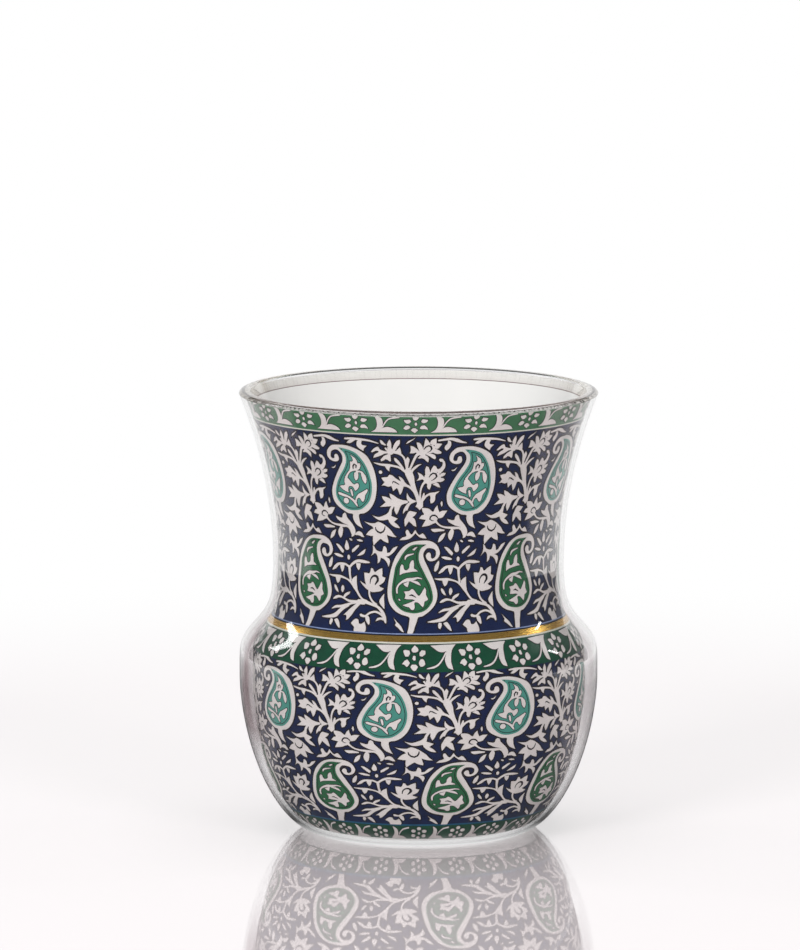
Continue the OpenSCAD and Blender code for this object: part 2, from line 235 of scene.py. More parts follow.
class Tree:
    """The node tree of a material, a world or a lamp."""

    def __init__(self, owner):
        owner.use_nodes = True
        self.owner = owner
        self.nodes = owner.node_tree.nodes
        self.links = owner.node_tree.links
        self.nodes.clear()

    def node(self, kind, settings=None, *values, **named):
        """Adds a node: settings come first, then values or links for its sockets by place or name."""
        made = self.nodes.new("ShaderNode" + kind)
        for key, value in (settings or {}).items():
            if key == "stops":
                ramp = made.color_ramp
                for place, (at, colour) in enumerate(value):
                    stop = ramp.elements[place] if place < 2 else ramp.elements.new(at)
                    stop.position = at
                    stop.color = (*colour, 1)
            else:
                setattr(made, key, value)
        inputs = [(made.inputs[place], value) for place, value in enumerate(values) if value is not None]
        inputs += [(made.inputs[key.replace("_", " ")], value) for key, value in named.items()]
        for socket, value in inputs:
            if isinstance(value, Wire):
                self.links.new(value.socket, socket)
            elif isinstance(value, tuple) and len(value) == 3 and len(socket.default_value) == 4:
                socket.default_value = (*value, 1)
            else:
                socket.default_value = value
        return Placed(self, made)

    def mix_colour(self, factor, first, second):
        """Colour between two colours: Mix node set to colours, factor 0 gives the first."""
        made = self.nodes.new("ShaderNodeMix")
        made.data_type = "RGBA"
        for place, value in ((0, factor), (6, first), (7, second)):
            if isinstance(value, Wire):
                self.links.new(value.socket, made.inputs[place])
            else:
                made.inputs[place].default_value = (*value, 1) if place else value
        return Wire(self, made.outputs[2])

    def where(self):
        """Object coordinates, the place of a point on the glass in metres."""
        return self.node("TexCoord")["Object"]

    def grain(self, scale, detail=3.0, stretched=None):
        """Noise from 0 to 1 on object coordinates; stretched gives each axis its own scale."""
        place = self.where()
        if stretched:
            place = self.node("Mapping", None, place, Scale=stretched)["Vector"]
        return self.node("TexNoise", None, Vector=place, Scale=scale, Detail=detail)["Fac"]

    def end(self, shader, kind="OutputMaterial"):
        self.node(kind, None, shader)
        return self.owner


def clear_glass(name, edge_shade_colour, amounts):
    """Clear soda glass: no shadow on the print, and near its edges a pinkish grey painted shade, broken into streaks,
    where the wall is seen edge-on.
    The painted shade's amount is a curve over the height, given as (height in mm, amount), times the edge's Layer
    Weight and a noise that runs with the wall; the painted shade is a little stronger on the left side."""
    tree = Tree(bpy.data.materials.new(name))
    ripple = tree.grain(60, 2, (1, 1, 0.35))
    bump = tree.node("Bump", None, Strength=0.02, Distance=0.0003, Height=ripple)["Normal"]
    place = tree.node("SeparateXYZ", None, tree.where())
    stops = [(height * 0.01, (amount, amount, amount)) for height, amount in amounts]
    amount = tree.node("ValToRGB", {"stops": stops}, place["Z"] * 10.0)["Color"]
    side = tree.node("MapRange", None, place["X"], -0.03, 0.03, 1.0, 0.62)["Result"]
    # Painted shade: the glass darkens towards its edges, where the wall is seen edge-on.
    edge = tree.node("LayerWeight", None, Blend=0.5)["Facing"]
    edge = tree.node("MapRange", {"interpolation_type": "SMOOTHSTEP"}, edge, 0.45, 0.7, 0.0, 1.0)["Result"]
    shade_streaks = tree.node("MapRange", None, tree.grain(120, 4, (1, 1, 0.2)), 0.38, 0.62, 0.25, 1.0)["Result"]
    colour = tree.mix_colour(edge * shade_streaks * side * amount, (1.0, 1.0, 1.0), edge_shade_colour)
    glass = tree.node("BsdfPrincipled", None, Base_Color=colour, Roughness=0.0, IOR=1.47,
                      Transmission_Weight=1.0, Normal=bump)["BSDF"]
    open_air = tree.node("BsdfTransparent")["BSDF"]
    ray = tree.node("LightPath")
    unseen = tree.node("Math", {"operation": "MAXIMUM"}, ray["Is Shadow Ray"], ray["Is Diffuse Ray"])["Value"]
    return tree.end(tree.node("MixShader", None, unseen, glass, open_air)["Shader"])


def opal_glass(name):
    """White opal glass: milky, glossy, with a very faint cloud in its white."""
    tree = Tree(bpy.data.materials.new(name))
    cloud = tree.grain(45, 3)
    colour = tree.mix_colour(cloud, (0.86, 0.86, 0.85), (0.93, 0.92, 0.90))
    bump = tree.node("Bump", None, Strength=0.06, Distance=0.0003, Height=tree.grain(90, 2))["Normal"]
    return tree.end(tree.node("BsdfPrincipled", None, Base_Color=colour, Roughness=0.12, IOR=1.5,
                              Coat_Weight=0.4, Normal=bump)["BSDF"])


def enamel(name, colour, shade, gloss=0.3, mottle=0.6, coat=0.12):
    """Fired enamel: the colour clouds towards its shade, with the fine grain of a screen print."""
    tree = Tree(bpy.data.materials.new(name))
    cloud = tree.grain(260, 4)
    speck = tree.grain(2600, 2)
    amount = tree.node("MapRange", None, cloud * 0.7 + speck * 0.3, 0.35, 0.65, 0.0, mottle)["Result"]
    tone = tree.mix_colour(amount, colour, shade)
    bump = tree.node("Bump", None, Strength=0.12, Distance=0.00005, Height=speck)["Normal"]
    rough = speck * 0.12 + gloss
    return tree.end(tree.node("BsdfPrincipled", None, Base_Color=tone, Roughness=rough, IOR=1.4,
                              Coat_Weight=coat, Coat_Roughness=0.12, Normal=bump)["BSDF"])


def burnished_gold(name):
    """Burnished gold: bright metal with fine rubbing marks that run round the glass."""
    tree = Tree(bpy.data.materials.new(name))
    rub = tree.grain(900, 3, (0.25, 0.25, 6.0))
    patch = tree.grain(160, 3)
    colour = tree.mix_colour(patch, (0.82, 0.52, 0.13), (0.70, 0.41, 0.08))
    bump = tree.node("Bump", None, Strength=0.1, Distance=0.00004, Height=rub)["Normal"]
    return tree.end(tree.node("BsdfPrincipled", None, Base_Color=colour, Metallic=0.88,
                              Roughness=rub * 0.16 + 0.2, Normal=bump)["BSDF"])


# Painted shade at the edges of the clear glass: none below 14 mm, strongest from 22 to 53 mm up.
CLEAR = clear_glass("clear_glass", (0.15, 0.075, 0.085),
                    ((0, 0), (14, 0), (22, 0.85), (46, 1), (53, 0.85), (58, 0.45),
                     (64, 0.3), (80, 0.14), (90, 0.1)))
# Painted shade at the edges of the rim collar, strongest at the rim.
COLLAR_GLASS = clear_glass("collar_glass", (0.60, 0.50, 0.34), ((0, 0), (80, 0.2), (90, 0.8)))
OPAL = opal_glass("opal_glass")
BOND = enamel("bond_line", (0.20, 0.15, 0.15), (0.34, 0.26, 0.25), 0.3, 0.7)
WHITE = enamel("white_enamel", (0.86, 0.85, 0.82), (0.78, 0.76, 0.73), 0.3)
GREEN = enamel("green_enamel", (0.055, 0.185, 0.085), (0.040, 0.130, 0.065), 0.3)
DEEP_GREEN = enamel("deep_green_enamel", (0.004, 0.072, 0.035), (0.004, 0.050, 0.027), 0.3)
NAVY = enamel("navy_enamel", (0.006, 0.016, 0.072), (0.005, 0.010, 0.045), 0.3)
LIGHT_BLUE = enamel("light_blue_enamel", (0.25, 0.33, 0.56), (0.20, 0.26, 0.48), 0.3)
BLUE = enamel("blue_enamel", (0.010, 0.110, 0.230), (0.010, 0.080, 0.170), 0.3)
BLACK = enamel("black_enamel", (0.008, 0.009, 0.016), (0.014, 0.014, 0.020), 0.3)
PALE = enamel("pale_enamel", (0.70, 0.70, 0.62), (0.60, 0.61, 0.53), 0.3)
CREAM = enamel("cream_enamel", (0.76, 0.72, 0.70), (0.64, 0.60, 0.59), 0.3, 0.75)
OUTLINE = enamel("outline_enamel", (0.012, 0.009, 0.014), (0.022, 0.014, 0.016), 0.35, 0.6, 0.1)
TEAL = enamel("teal_enamel", (0.070, 0.310, 0.250), (0.055, 0.240, 0.200), 0.3)
LEAF_GREEN = enamel("leaf_green_enamel", (0.022, 0.142, 0.058), (0.017, 0.104, 0.045), 0.3)
GOLD = burnished_gold("gold")

# Vessel, collar and seam

outer_levels = np.concatenate([stretch(0, BELLY_Z, 0.62, 2.0), stretch(BELLY_Z, WAIST_Z, 0.55)[1:],
                               stretch(WAIST_Z, SEAT_Z, 0.6)[1:]])
outer_outline = np.concatenate([[[0, 0]], wall(outer_radius, outer_levels, 0),
                                wall(outer_radius, outer_levels[::-1], -OUTER_WALL), [[0, OUTER_WALL]]])
outer_glass = lathe("blown_outer_glass", outer_outline, CLEAR, "outer_glass")

cup_levels = np.concatenate([stretch(CUP_FOOT_Z, BELLY_Z, 0.62, 2.0), stretch(BELLY_Z, WAIST_Z, 0.55)[1:],
                             stretch(WAIST_Z, CUP_TOP_Z, 0.6)[1:]])
cup_outline = np.concatenate([[[0, CUP_FOOT_Z]], wall(cup_radius, cup_levels, 0),
                              wall(cup_radius, cup_levels[::-1], -CUP_WALL), [[0, CUP_FOOT_Z + CUP_WALL]]])
inner_cup = lathe("opal_inner_cup", cup_outline, OPAL, "inner_cup")

lip_out = wall(outer_radius, [SEAT_Z], 0)[0]
lip_in = wall(cup_radius, [PRINT_TOP_Z], -CUP_WALL)[0]
lip_middle = (lip_out + lip_in) / 2
lip_turn = np.linspace(0, math.pi, 25)[:-1, None]
lip = lip_middle + (lip_out - lip_middle) * np.cos(lip_turn)
lip = lip + np.array([0, GLASS_H - lip_middle[1]]) * np.sin(lip_turn)
collar_levels = stretch(SEAM_Z, PRINT_TOP_Z, 0.3)
collar_outline = np.concatenate([wall(cup_radius, collar_levels, 0), wall(cup_radius, [SEAT_Z], 0),
                                 wall(outer_radius, [SEAT_Z], -OUTER_WALL), lip,
                                 wall(cup_radius, collar_levels[::-1], -CUP_WALL)])
rim_collar = lathe("rounded_rim_collar", collar_outline, COLLAR_GLASS, "rim_collar", turns=256, crease=50)

rim_seam = layer("bond_seam", CUP_TOP_Z, SEAM_Z, -CUP_WALL, 0, BOND, "rim_seam", 0.08)

# Grounds and lines of the print

BANDS = (
    ("neck_white_coat", GOLD_TOP_Z, PRINT_TOP_Z, WHITE_DEPTH, COLOUR_DEPTH, WHITE,
     "neck_white_ground", "white_enamel"),
    ("belly_white_coat", PRINT_FOOT_Z, GOLD_TOP_Z, WHITE_DEPTH, COLOUR_DEPTH, WHITE,
     "belly_white_ground", "white_enamel"),
    ("top_border_coat", TOP_BORDER_Z, PRINT_TOP_Z, COLOUR_DEPTH, CREAM_DEPTH, GREEN, "top_border_ground",
     "green_enamel"),
    ("line_under_top_border", TOP_LINE_Z, TOP_BORDER_Z, COLOUR_DEPTH, CREAM_DEPTH, PALE, "top_border_line",
     "pale_enamel"),
    ("navy_neck_coat", BLUE_LINE_TOP_Z, TOP_LINE_Z, COLOUR_DEPTH, CREAM_DEPTH, NAVY,
     "neck_ground", "navy_enamel"),
    ("light_line_over_gold", DARK_LINE_TOP_Z, BLUE_LINE_TOP_Z, COLOUR_DEPTH, CREAM_DEPTH, LIGHT_BLUE,
     "waist_blue_line", "light_blue_enamel"),
    ("dark_line_over_gold", GOLD_TOP_Z, DARK_LINE_TOP_Z, COLOUR_DEPTH, CREAM_DEPTH, BLACK, "waist_dark_line",
     "black_enamel"),
    ("gold_band", GOLD_Z, GOLD_TOP_Z, COLOUR_DEPTH, GOLD_DEPTH, GOLD, "waist_gold_band", "gold"),
    ("pale_line_under_gold", PALE_LINE_Z, GOLD_Z, COLOUR_DEPTH, CREAM_DEPTH, PALE,
     "waist_pale_line", "pale_enamel"),
    ("shoulder_border_coat", SHOULDER_BORDER_Z, PALE_LINE_Z, COLOUR_DEPTH, CREAM_DEPTH, DEEP_GREEN,
     "shoulder_border_ground", "deep_green_enamel"),
    ("navy_belly_coat", FOOT_LINE_TOP_Z, SHOULDER_BORDER_Z, COLOUR_DEPTH, CREAM_DEPTH, NAVY, "belly_ground",
     "navy_enamel"),
    ("line_over_foot_border", FOOT_BORDER_TOP_Z, FOOT_LINE_TOP_Z, COLOUR_DEPTH, CREAM_DEPTH, BLUE,
     "foot_border_line", "blue_enamel"),
    ("foot_border_coat", PRINT_FOOT_Z, FOOT_BORDER_TOP_Z, COLOUR_DEPTH, CREAM_DEPTH, DEEP_GREEN,
     "foot_border_ground", "deep_green_enamel"),
)
for name, low, high, inner, outer, finish, node, slot in BANDS:
    layer(name, low, high, inner, outer, finish, node, 0.5 if high - low > 2 else 0.08)

# The print, drawn flat: turn about the axis in degrees from the front, height in mm.
# One cell of the pattern holds one green and one teal paisley and the plant between them.
# A shape is a closed outline of (turn, height) pairs; a stroke adds its width in mm to each pair.

FLOWER_SHAPES = """
-10.9 81.2 -10.9 82.2 -10 83.1 -9.5 82.3 -9.6 81.2 -9.8 80.6
-9.1 81.2 -8.5 82.1 -7.6 82.8 -6.5 83.05 -6.5 82.3 -7.4 81.6 -8.1 80.9 -8.8 80.6
-8 80.7 -7.3 81.1 -6.6 81.5 -6.3 80.9 -6.1 80.2 -7 80.2
-13.3 82.95 -12.6 82.8 -11.8 82.2 -11.2 81.9 -11.9 81.85 -12.9 82.1 -13.3 82.5
-10.9 80.5 -12.5 80.7 -13.6 80.95 -14 81.4 -14.5 81.5 -15.8 81.1 -16.9 80.4 -16.3 80.35 -15 80.7 -14.1 \
 80.6 -14.3 80.3 -15.6 79.9 -16.2 79.2 -15.2 79.35 -13.5 79.7 -12 80.15 -11 80.2
-11 80 -12.4 79.6 -13.6 78.9 -13.5 78.5 -12.4 78.75 -11.9 79 -11.2 78.9 -10.2 78.5 -9.9 78.7 -10 79.4 -10 80
-12 81.3 -11.4 81.4 -10.9 81 -10.8 80.6 -11.4 80.8
-.6 80 -1 80.5 -1.9 80.3 -3.2 80.3 -2.8 80.9 -2.9 81.8 -2 81.7 -1 81.3 .2 80.6
.2 80.7 -.5 81.7 -.8 82.5 0 82.5 .9 82 1.4 81.2 1 80.7
1.5 81.2 1.8 82 2 82.8 2.3 83.4 3 83 3.7 82.4 3.8 82 3 81.85 2 81.6
3.7 82.3 4.1 82.9 4.9 83.2 5.9 83.35 6 82.6 5.9 82 4.8 82
5.6 82.2 6.6 82.3 7.9 82.2 7.3 81.7 6.5 81.2 5.4 81.4
5.2 81.2 6.5 81 7.8 80.5 7.6 80.2 6.3 80.15 5 80.4 4.4 80.6
1.2 80.4 1.6 81.6 3 82 4.8 82 5.6 81.3 5 80.5 3 80.2
2 80.2 3.2 80.2 4.4 80.2 5.6 79.9 6 79.4 5.7 79.05 4.9 79.2 4 79.6 3 79.9
1.8 80 2.9 79.7 3.5 79.2 3.3 78.4 2.6 78.7 1.9 79.1 1 79.3 .2 79.2 -.4 79.3 .6 79.8
2 75.2 1 75.9 -.5 76.35 0 75.7 0 75.2 -.8 74.6 .5 74.8 1.4 74.9 2 74.5
2.3 76 2.2 76.9 2.7 77.6 3.5 77.4 3.9 76.7 4.1 76.2 3.2 75.9 2.6 75.5
4.1 76.3 4.6 77.1 5.3 77.7 6 77.6 6.5 77.1 7 76.9 6.6 76.3 5.5 76.3
6.7 76.9 7.6 77.1 8.3 77.6 8.5 78.2 8.3 78.5 7.6 78.5 7.1 78.9 7.4 79.15 8.4 79.05 9.2 78.5 9.5 77.8 9.3 \
 77.2 8.6 76.6 7.8 76.1 6.8 75.9
7.8 76 8.8 76.2 9.7 76.15 9.4 75.7 8.5 75.45 7.7 75.4
7.6 75.2 8.9 75.1 9.4 74.8 8.9 74.5 7.8 74.3 6.6 74.4
6.4 74.2 7.3 73.9 7.9 73.2 7 73.3 6 73.6 5.1 73.8
4.6 74 4.4 73.4 4 72.8 3.4 72.9 3 73.4 3.1 73.9 2.5 74.2
1.9 74.4 1.9 75.3 2.7 76.1 5 76.4 7.2 76.1 8 75.3 7.4 74.5 5 74 3 74
-5.6 74.1 -7.2 74.6 -8.6 75.1 -9.6 75.6 -10.8 75.75 -11.4 75.3 -12.2 75.25 -13.8 75.1 -13.2 74.5 -12.7 \
 74.2 -13.9 73.5 -12.8 73.55 -11.4 73.3 -10.2 73.5 -9.9 73 -9.6 72.4 -8.9 72.8 -8.1 73.1 -7.7 72.6 -7.1 \
 71.7 -6.4 72.2 -5.9 73 -5.6 73.5
-21.6 65.95 -19.5 65.7 -17.4 65.7 -16 66.05 -14.2 65.7 -13 65.3 -11 64.4 -10 63.6 -8.8 63.05 -10.5 63.1 \
 -12.3 63.4 -12.6 63.6 -12.5 63 -12.1 62.3 -12.2 61.8 -13.4 62 -14.6 62.3 -15.4 62.6 -16.5 62.2 -17.8 61.6 \
 -18.6 61.2 -18.9 62.2 -18.7 63.1 -19.8 63.1 -21.8 63.3 -20.6 63.9 -19.3 64.4 -18.2 64.6 -18.5 65 -20 65.4
5.6 68.25 5 68.3 4 68.8 2.6 69 1.2 69 1.3 68.4 1.9 67.9 1.9 67.6 1 67.5 .1 66.85 1.5 66.7 2.7 66.6 1.9 \
 65.9 1.2 65.2 2.6 65.3 4.3 65.5 5.4 65.8 6.4 66 7.4 66.9 8 66.9 9.2 67.1 10 67.7 10.9 68.4 9 68.4 7.9 \
 68.1 7.3 68.8 7.1 69.5 6.2 69
15.7 61.95 15.1 61.2 14.7 60.5 15.3 59.95 16.2 59.95 16.8 60.3 16.5 61.2
10.3 61 11.3 61 12.6 60.6 13.8 60 14.2 59.7 13.7 59.25 12.7 59.6 11.4 60.3
9 59 10.5 59.1 12.5 58.9 13.8 58.6 13.5 58.4 12 58.4 10.3 58.6
21.7 61.1 20.6 61 19.3 60.5 18.2 60 18.3 59.5 19.4 59.8 20.5 60.3 21.5 60.8
24.7 60.4 23.7 60.1 22 59.5 20.6 58.9 22 59 23.5 59.3 24.1 59.6
-25.2 53.9 -23.8 53.5 -22.3 53.2 -22.9 54 -23.2 55.6 -22 55.6 -20.9 55.5 -20.3 56 -20 56.6 -19.2 56.5 \
 -18.6 55.9 -17.8 55.9 -16.8 56.3 -15 56.7 -14.9 55.6 -15 55 -13.6 54.8 -14.2 54 -15.4 53.5 -16.5 53.2 -16 \
 52.9 -14.3 52.6 -15.5 52.1 -17.5 51.9 -19.5 51.8 -20.5 52 -22 52.3 -23.5 52.9 -24.6 53.5
-20.2 58.9 -19.3 59.5 -18.9 60.4 -19 61.2 -18.3 60.9 -17.6 60.3 -16 60 -14.8 60.1 -14.3 61 -13.6 61.1 \
 -12.9 60.6 -12.8 59.8 -11.6 59.9 -10.3 60.8 -8.4 61.2 -9.2 60.5 -10.4 59.8 -12 59.2 -13.6 59 -12 58.7 \
 -11.6 58 -12.2 57 -12.8 57.8 -14 58.5 -15.6 58.8 -16 58 -17 57.6 -16.9 58.5 -17.2 59.3 -18.2 59.7
-.8 68.1 -2.4 68.3 -3.4 68.4 -4 68.2 -4.6 67.7 -5 67.2 -5.5 66.7 -5.6 66 -5.4 65.2 -4.6 65.7 -3.9 66.3 -3 \
 65.9 -2 65.4 -1 65.2 -1.2 66 -1.7 66.8 -2.6 67.1 -1.6 67.5
-1.4 64.6 -.8 64 .2 63.5 1.4 63.85 2.2 63.5 3 62.8 1.4 62.9 .2 63.1 -.8 63.6 -1.3 63.9 -2 63.5 -3 63 -4.2 \
 62.65 -5.8 62.5 -7.6 62.45 -6.4 63 -4.9 63.25 -5.2 64 -4.9 64.5 -4.2 64.5 -3.6 63.9 -2.8 63.6 -2 64.1
18.2 45.3 19.2 45.9 20.4 46.3 21.5 46.1 21.9 45.4 22.5 45.3 23.4 45.4 24.4 45.8 24.9 45.2 25.3 44.6 25 \
 43.7 20.2 43.7 20 44.5 19.3 44.9
"""

LEAF_SHAPES = """
-1.3 69.2 -.6 69.9 1.3 69.9 1.3 69.15
-12.3 77.6 -11.6 76.9 -10.7 76.45 -10.65 77 -10.2 77.5
-4.4 77.4 -4.75 78.6 -4.4 79.2 -4 79.55 -3.3 79 -3.6 78.2 -3.9 77.4
-8.75 79.25 -8.2 79.25 -7.2 78.7 -6.2 77.9 -5.3 77.1 -5.7 77.05 -6.8 77.6 -8 78.3 -8.6 78.7
-7.4 75.5 -6.6 75.3 -5.8 74.9 -5.2 74.3 -4.5 73.9 -5.4 73.8 -6.3 74.2 -6.9 74.8
-.6 70.4 -2.6 70.8 -3.8 71.4 -4.4 72.1 -4.6 71.4 -4.3 70.6 -3 70.1
-4.2 70.1 -4.4 70.5 -6 70.6 -7.8 70.9 -9.4 71.5 -11 71.9 -10.9 71.3 -10.2 70.6 -11.2 70.9 -12.5 71.2 -14 \
 71.3 -13.6 70.7 -12.6 70.1 -13.5 69.7 -15 69.1 -13 69.2 -11.2 69.3 -10 69.4 -9.3 69.2 -9.4 68.5 -8.7 67.6 \
 -8 68.1 -7.4 68.9 -6.6 69.6 -5.3 69.9
-1.4 70.2 -2.9 69.9 -3.8 69.3 -4.4 68.5 -5 68.5 -6.1 67.8 -6 68.5 -5.2 69.3 -4.3 69.9 -3.4 70.2
-18.2 67.3 -17 67.1 -15.5 67 -13.5 67.4 -12.4 67.7 -11.2 68.4 -10.8 67.4 -9.6 67.1 -8.2 66.8 -9.3 66.3 \
 -9.8 66.1 -8.4 65.6 -7.4 64.9 -9 65 -10.6 65.5 -11.6 66.1 -12 66.6 -13.5 66.4 -15.5 66.4 -17 66.8
20 63.6 19.6 64.4 18.5 65.2 17 66 16 66.6 15.7 67.2 15.2 67.5 14.2 67.1 13.9 66.5 13 66.4 11 66.7 11.6 \
 66.1 13.2 65.6 14.5 65.3 16.5 65 17.5 64.6 18.3 64 18.4 63.4 18.4 62.7 19.4 62.9
13.2 64.8 12.3 64.2 11.8 63.5 12.1 62.8 12.9 62.3 13.6 62.7 14 63.4 14.1 64.2
4.7 64.7 6 64.75 8 64.75 10.2 64.5 10 64.3 8 64.2 6.2 64.1 5.2 64.3
10.7 63.9 9.6 63.7 8.4 63.2 7.7 62.4 7.6 62 8.6 62.2 9.7 62.7 10.3 63.3
19.8 63.2 20.6 63.7 21.8 63.9 23 63.6 24.2 62.8 23.2 62.8 21.8 63.1 20.5 63.1
17.1 62.3 18 62.3 18.6 62 18.2 61.85 17.5 62
20.7 62.2 22 62.3 23.3 62.1 23.4 61.85 22 61.85 21 62
8 58.3 7.2 57.9 6.4 57.2 6.1 56.3 6.6 56.1 7.5 56.5 8 57.2 8.2 57.9
12.1 56.8 12.3 56.2 13 55.4 13.7 55.8 14.1 56.5 14.3 57
20 57.4 20.3 56.6 21.2 56 21.9 56.6 22.1 57.4
9.6 54.4 9.9 53.7 10.6 53.1 11.5 53.4 12.1 54.1 12.2 54.5
17.9 54 18.8 54.5 20.2 54.9 20.2 54 20.3 53 20.6 52.3 19 52.6 18 53.4
9 52.75 9.8 52.6 10.6 52 11.2 51.3 10.4 51.4 9.5 51.8 9 52.3
13.2 52.8 12.6 52.4 12.5 51.8 13 51.3 13.6 51.5 14.1 52.1 13.8 52.6
13.6 50.4 14.3 51 15.6 51.4 17.1 51.6 16.6 51.1 15.3 50.7 14.4 50.3
7.5 45.3 7.9 45.9 9 45.8 9.1 45.3 8.4 44.6 7.7 44.8
9.8 45.7 10.9 46 11.6 45.9 12.6 45.2 13.2 44.2 12.6 44.25 11.3 44.8
14.1 46.8 15.5 47.4 17 48.1 18.8 48.8 20.3 49.3 22 49.2 21 48.7 19.6 48 18.5 47.2 17.5 46.6 16.6 46.1 15.7 \
 45.9 15.8 46.5 15.3 46.9
-16.3 50 -15.3 50.9 -14.1 51.6 -14.2 50.6 -14 49.5 -13.9 48.5 -15.4 49.2
-17.6 46 -17 46.6 -15.8 46.8 -14.2 46.8 -14.2 46.2 -15.5 46.4 -16.6 46.2
-22.4 46.9 -22 46 -20.6 45.2 -20.2 45.6 -20.5 46.6 -21.2 47
-10 46.8 -8.6 46 -7 45.2 -5.8 44 -6.8 44.2 -8.2 44.9 -9.4 45.4 -8.9 45.8
3.8 71.7 4.4 71.2 4.2 70.6 4.5 69.95 5.4 70.1 6.1 70.7 6.1 71.4 6.4 71.9
8.6 70.4 8.2 69.9 8.7 69.2 9 69.6 8.9 70.2
-25.5 82.1 -24.3 82 -23 82.4 -22 82.8 -24 82.8
-21.2 82.7 -21.8 82.1 -21.8 81.5 -21 81 -19.6 80.5 -19.4 81 -18.3 81.6 -19.6 81.7 -20.2 82 -19.8 82.6
9.9 82.9 9.8 82.2 9.1 81.8 8.9 81.2 9.6 80.8 10.6 81.3 11.1 82 10.8 82.7
-4.4 82.2 -3.6 82.8 -2.4 83.1 -1.2 83.5 -2.2 83 -3.4 82.5
11.7 76.7 12.8 76.8 13.8 77.3 13.2 76.7 12.4 76.5
"""

VINE_STROKES = """
.3 69.2 1.2 .2 70.1 1 -.6 71.3 .75 -1.6 72.7 .8 -2.4 74 1 -3 75.2 1.4 -3.7 76.2 1.5 -4.1 77 .9
-4.2 76.8 .45 -4.6 78 .4 -5 79 .35 -5.9 79.8 .35 -7.4 80.3 .45 -9.4 80.6 .7
-3.7 76.5 .45 -3 77.3 .4 -2.3 78.2 .42 -1.5 79.2 .45 -.8 79.9 .5 .3 80.3 .7
-3 75.9 .35 -2.3 76.8 .45 -1.2 77.4 .45 -.2 77.8 .3 .8 78 .06
-3.6 75.9 .7 -5.2 76.6 .5 -7 77.3 .42 -9 77.6 .4 -11 77.75 .5 -13 77.8 .45 -14.6 77.95 .35 -16.2 78.2 .05
.4 70.8 .5 .5 72 .3 .8 73 .35 1.5 73.9 .4 2.5 74.5 .6
-1 71.6 .4 -2 72.5 .4 -3.2 73.2 .45 -4.5 73.6 .5 -6.2 73.8 .8
-9.8 69.5 .5 -10.8 68.6 .5 -11.2 67.6 .7
6.3 66.4 .6 7.3 65.8 .35 8.6 65.3 .3 10.5 65 .35 12.5 64.9 .45 14 64.8 .55 16 64.8 .4 17.5 64.4 .55 18.8 \
 63.6 .9 19.2 63.1 .5
17.3 54 .5 16.9 55 .45 16.8 56 .6 16.7 56.6 .6
16.7 56.5 .45 15 57 .4 13 57.1 .4 11 56.9 .55 9.5 56.3 .7 8 55.7 .1
16.7 56.4 .45 18 57.1 .5 19.8 57.7 .55 21.5 57.9 .6 24 57.8 .6 26.4 57.7 .15
6.4 54.65 .1 8 54.55 .35 10 54.5 .5 12 54.5 .5 14 54.3 .35 15.8 54 .3 17.5 53.5 .55 19.3 52.6 .8 20.5 51.7 \
 .5 21.8 50.8 .4 23.2 50.2 .4 25 49.9 .5
8.5 49.9 .1 9.8 50.2 .55 11.2 50.45 .5 12.8 50.4 .35 14.5 50.1 .35 16.5 49.75 .45 19 49.65 .6 22 49.6 .75 \
 24 49.55 .7
7.9 47.85 .05 10 48.35 .5 12.5 48.5 .5 15 48.8 .6 18 49.3 .4 20.5 49.55 .5
3.4 46.05 .05 5.5 46.15 .45 8 46.35 .65 10.2 46.7 .9 12 47.5 .8 14 48.3 .7 16.5 48.9 .5
-26 49.9 .6 -23 49.8 .7 -20 49.4 .55 -17 48.9 .5 -15 48 .7 -13.8 46.8 .8 -13.2 45.8 .3
-24.5 47.1 .6 -22.5 46.9 .4 -20.5 47.6 .4 -18 47.9 .4 -16 47.6 .4 -14.5 47.1 .5
-20.8 52.2 .5 -20.9 51.4 .4 -20.2 50.5 .4 -19 49.8 .4 -17.5 49.3 .5
1 69.3 .6 1.1 70.3 .5 1.6 71.2 .5 1.9 72 .25
1.5 70.6 .4 2.6 71.4 .4 4.2 71.9 .4 6 72 .4 7.6 72.4 .05
-26 82.9 .3 -23.5 83 .45 -20 82.9 .45 -17 82.7 .35 -14 82.2 .1
6.7 82.9 .3 9 83.1 .4 11 83.2 .5 13 82.9 .7 14.8 82.5 .4 16.5 82.3 .1
"""

FLOWER_LINES = """
-12.3 81 .2 -11.9 81.6 .3 -11.2 81.8 .3 -10.7 81.5 .15
1.7 81.1 .2 2.4 81.6 .3 3.3 81.85 .35 4.1 81.7 .4 4.4 81.2 .35 4 80.75 .2 3 80.45 .12
3.7 75.3 .15 4.2 75.8 .3 5.1 76.15 .35 6.1 76 .4 6.5 75.5 .4 6 75.1 .3 5.2 74.8 .2 4.5 74.6 .1
-9.8 74 .12 -9.5 74.4 .3 -8.8 74.3 .3 -7.9 74 .25 -7.3 73.8 .15
-17.3 64.9 .2 -17.2 64.4 .35 -16.5 64 .4 -15.3 63.8 .4 -14.1 64.1 .35 -13.5 64.6 .3 -13.3 65.1 .2
4.2 66.7 .3 4.5 67.2 .35 5.2 67.5 .35 6.2 67.5 .35 7 67.2 .3 7.3 66.9 .2
4.5 66.6 .25 5.2 66.4 .2 5.8 66.4 .1
-20.5 53.5 .2 -20.3 54.3 .3 -19.4 54.9 .4 -18.2 55.1 .5 -17.2 54.8 .6 -17 54.2 .6 -17.7 53.7 .4 -18.3 53.3 .2
"""

# Round spots of the cell: turn, height, half width and half height in mm
SPOTS = """
-10 80.6 .7 .7
1.2 80.4 .7 .7
-14 76.25 .35 .35
16.5 58.5 .35 .5
"""

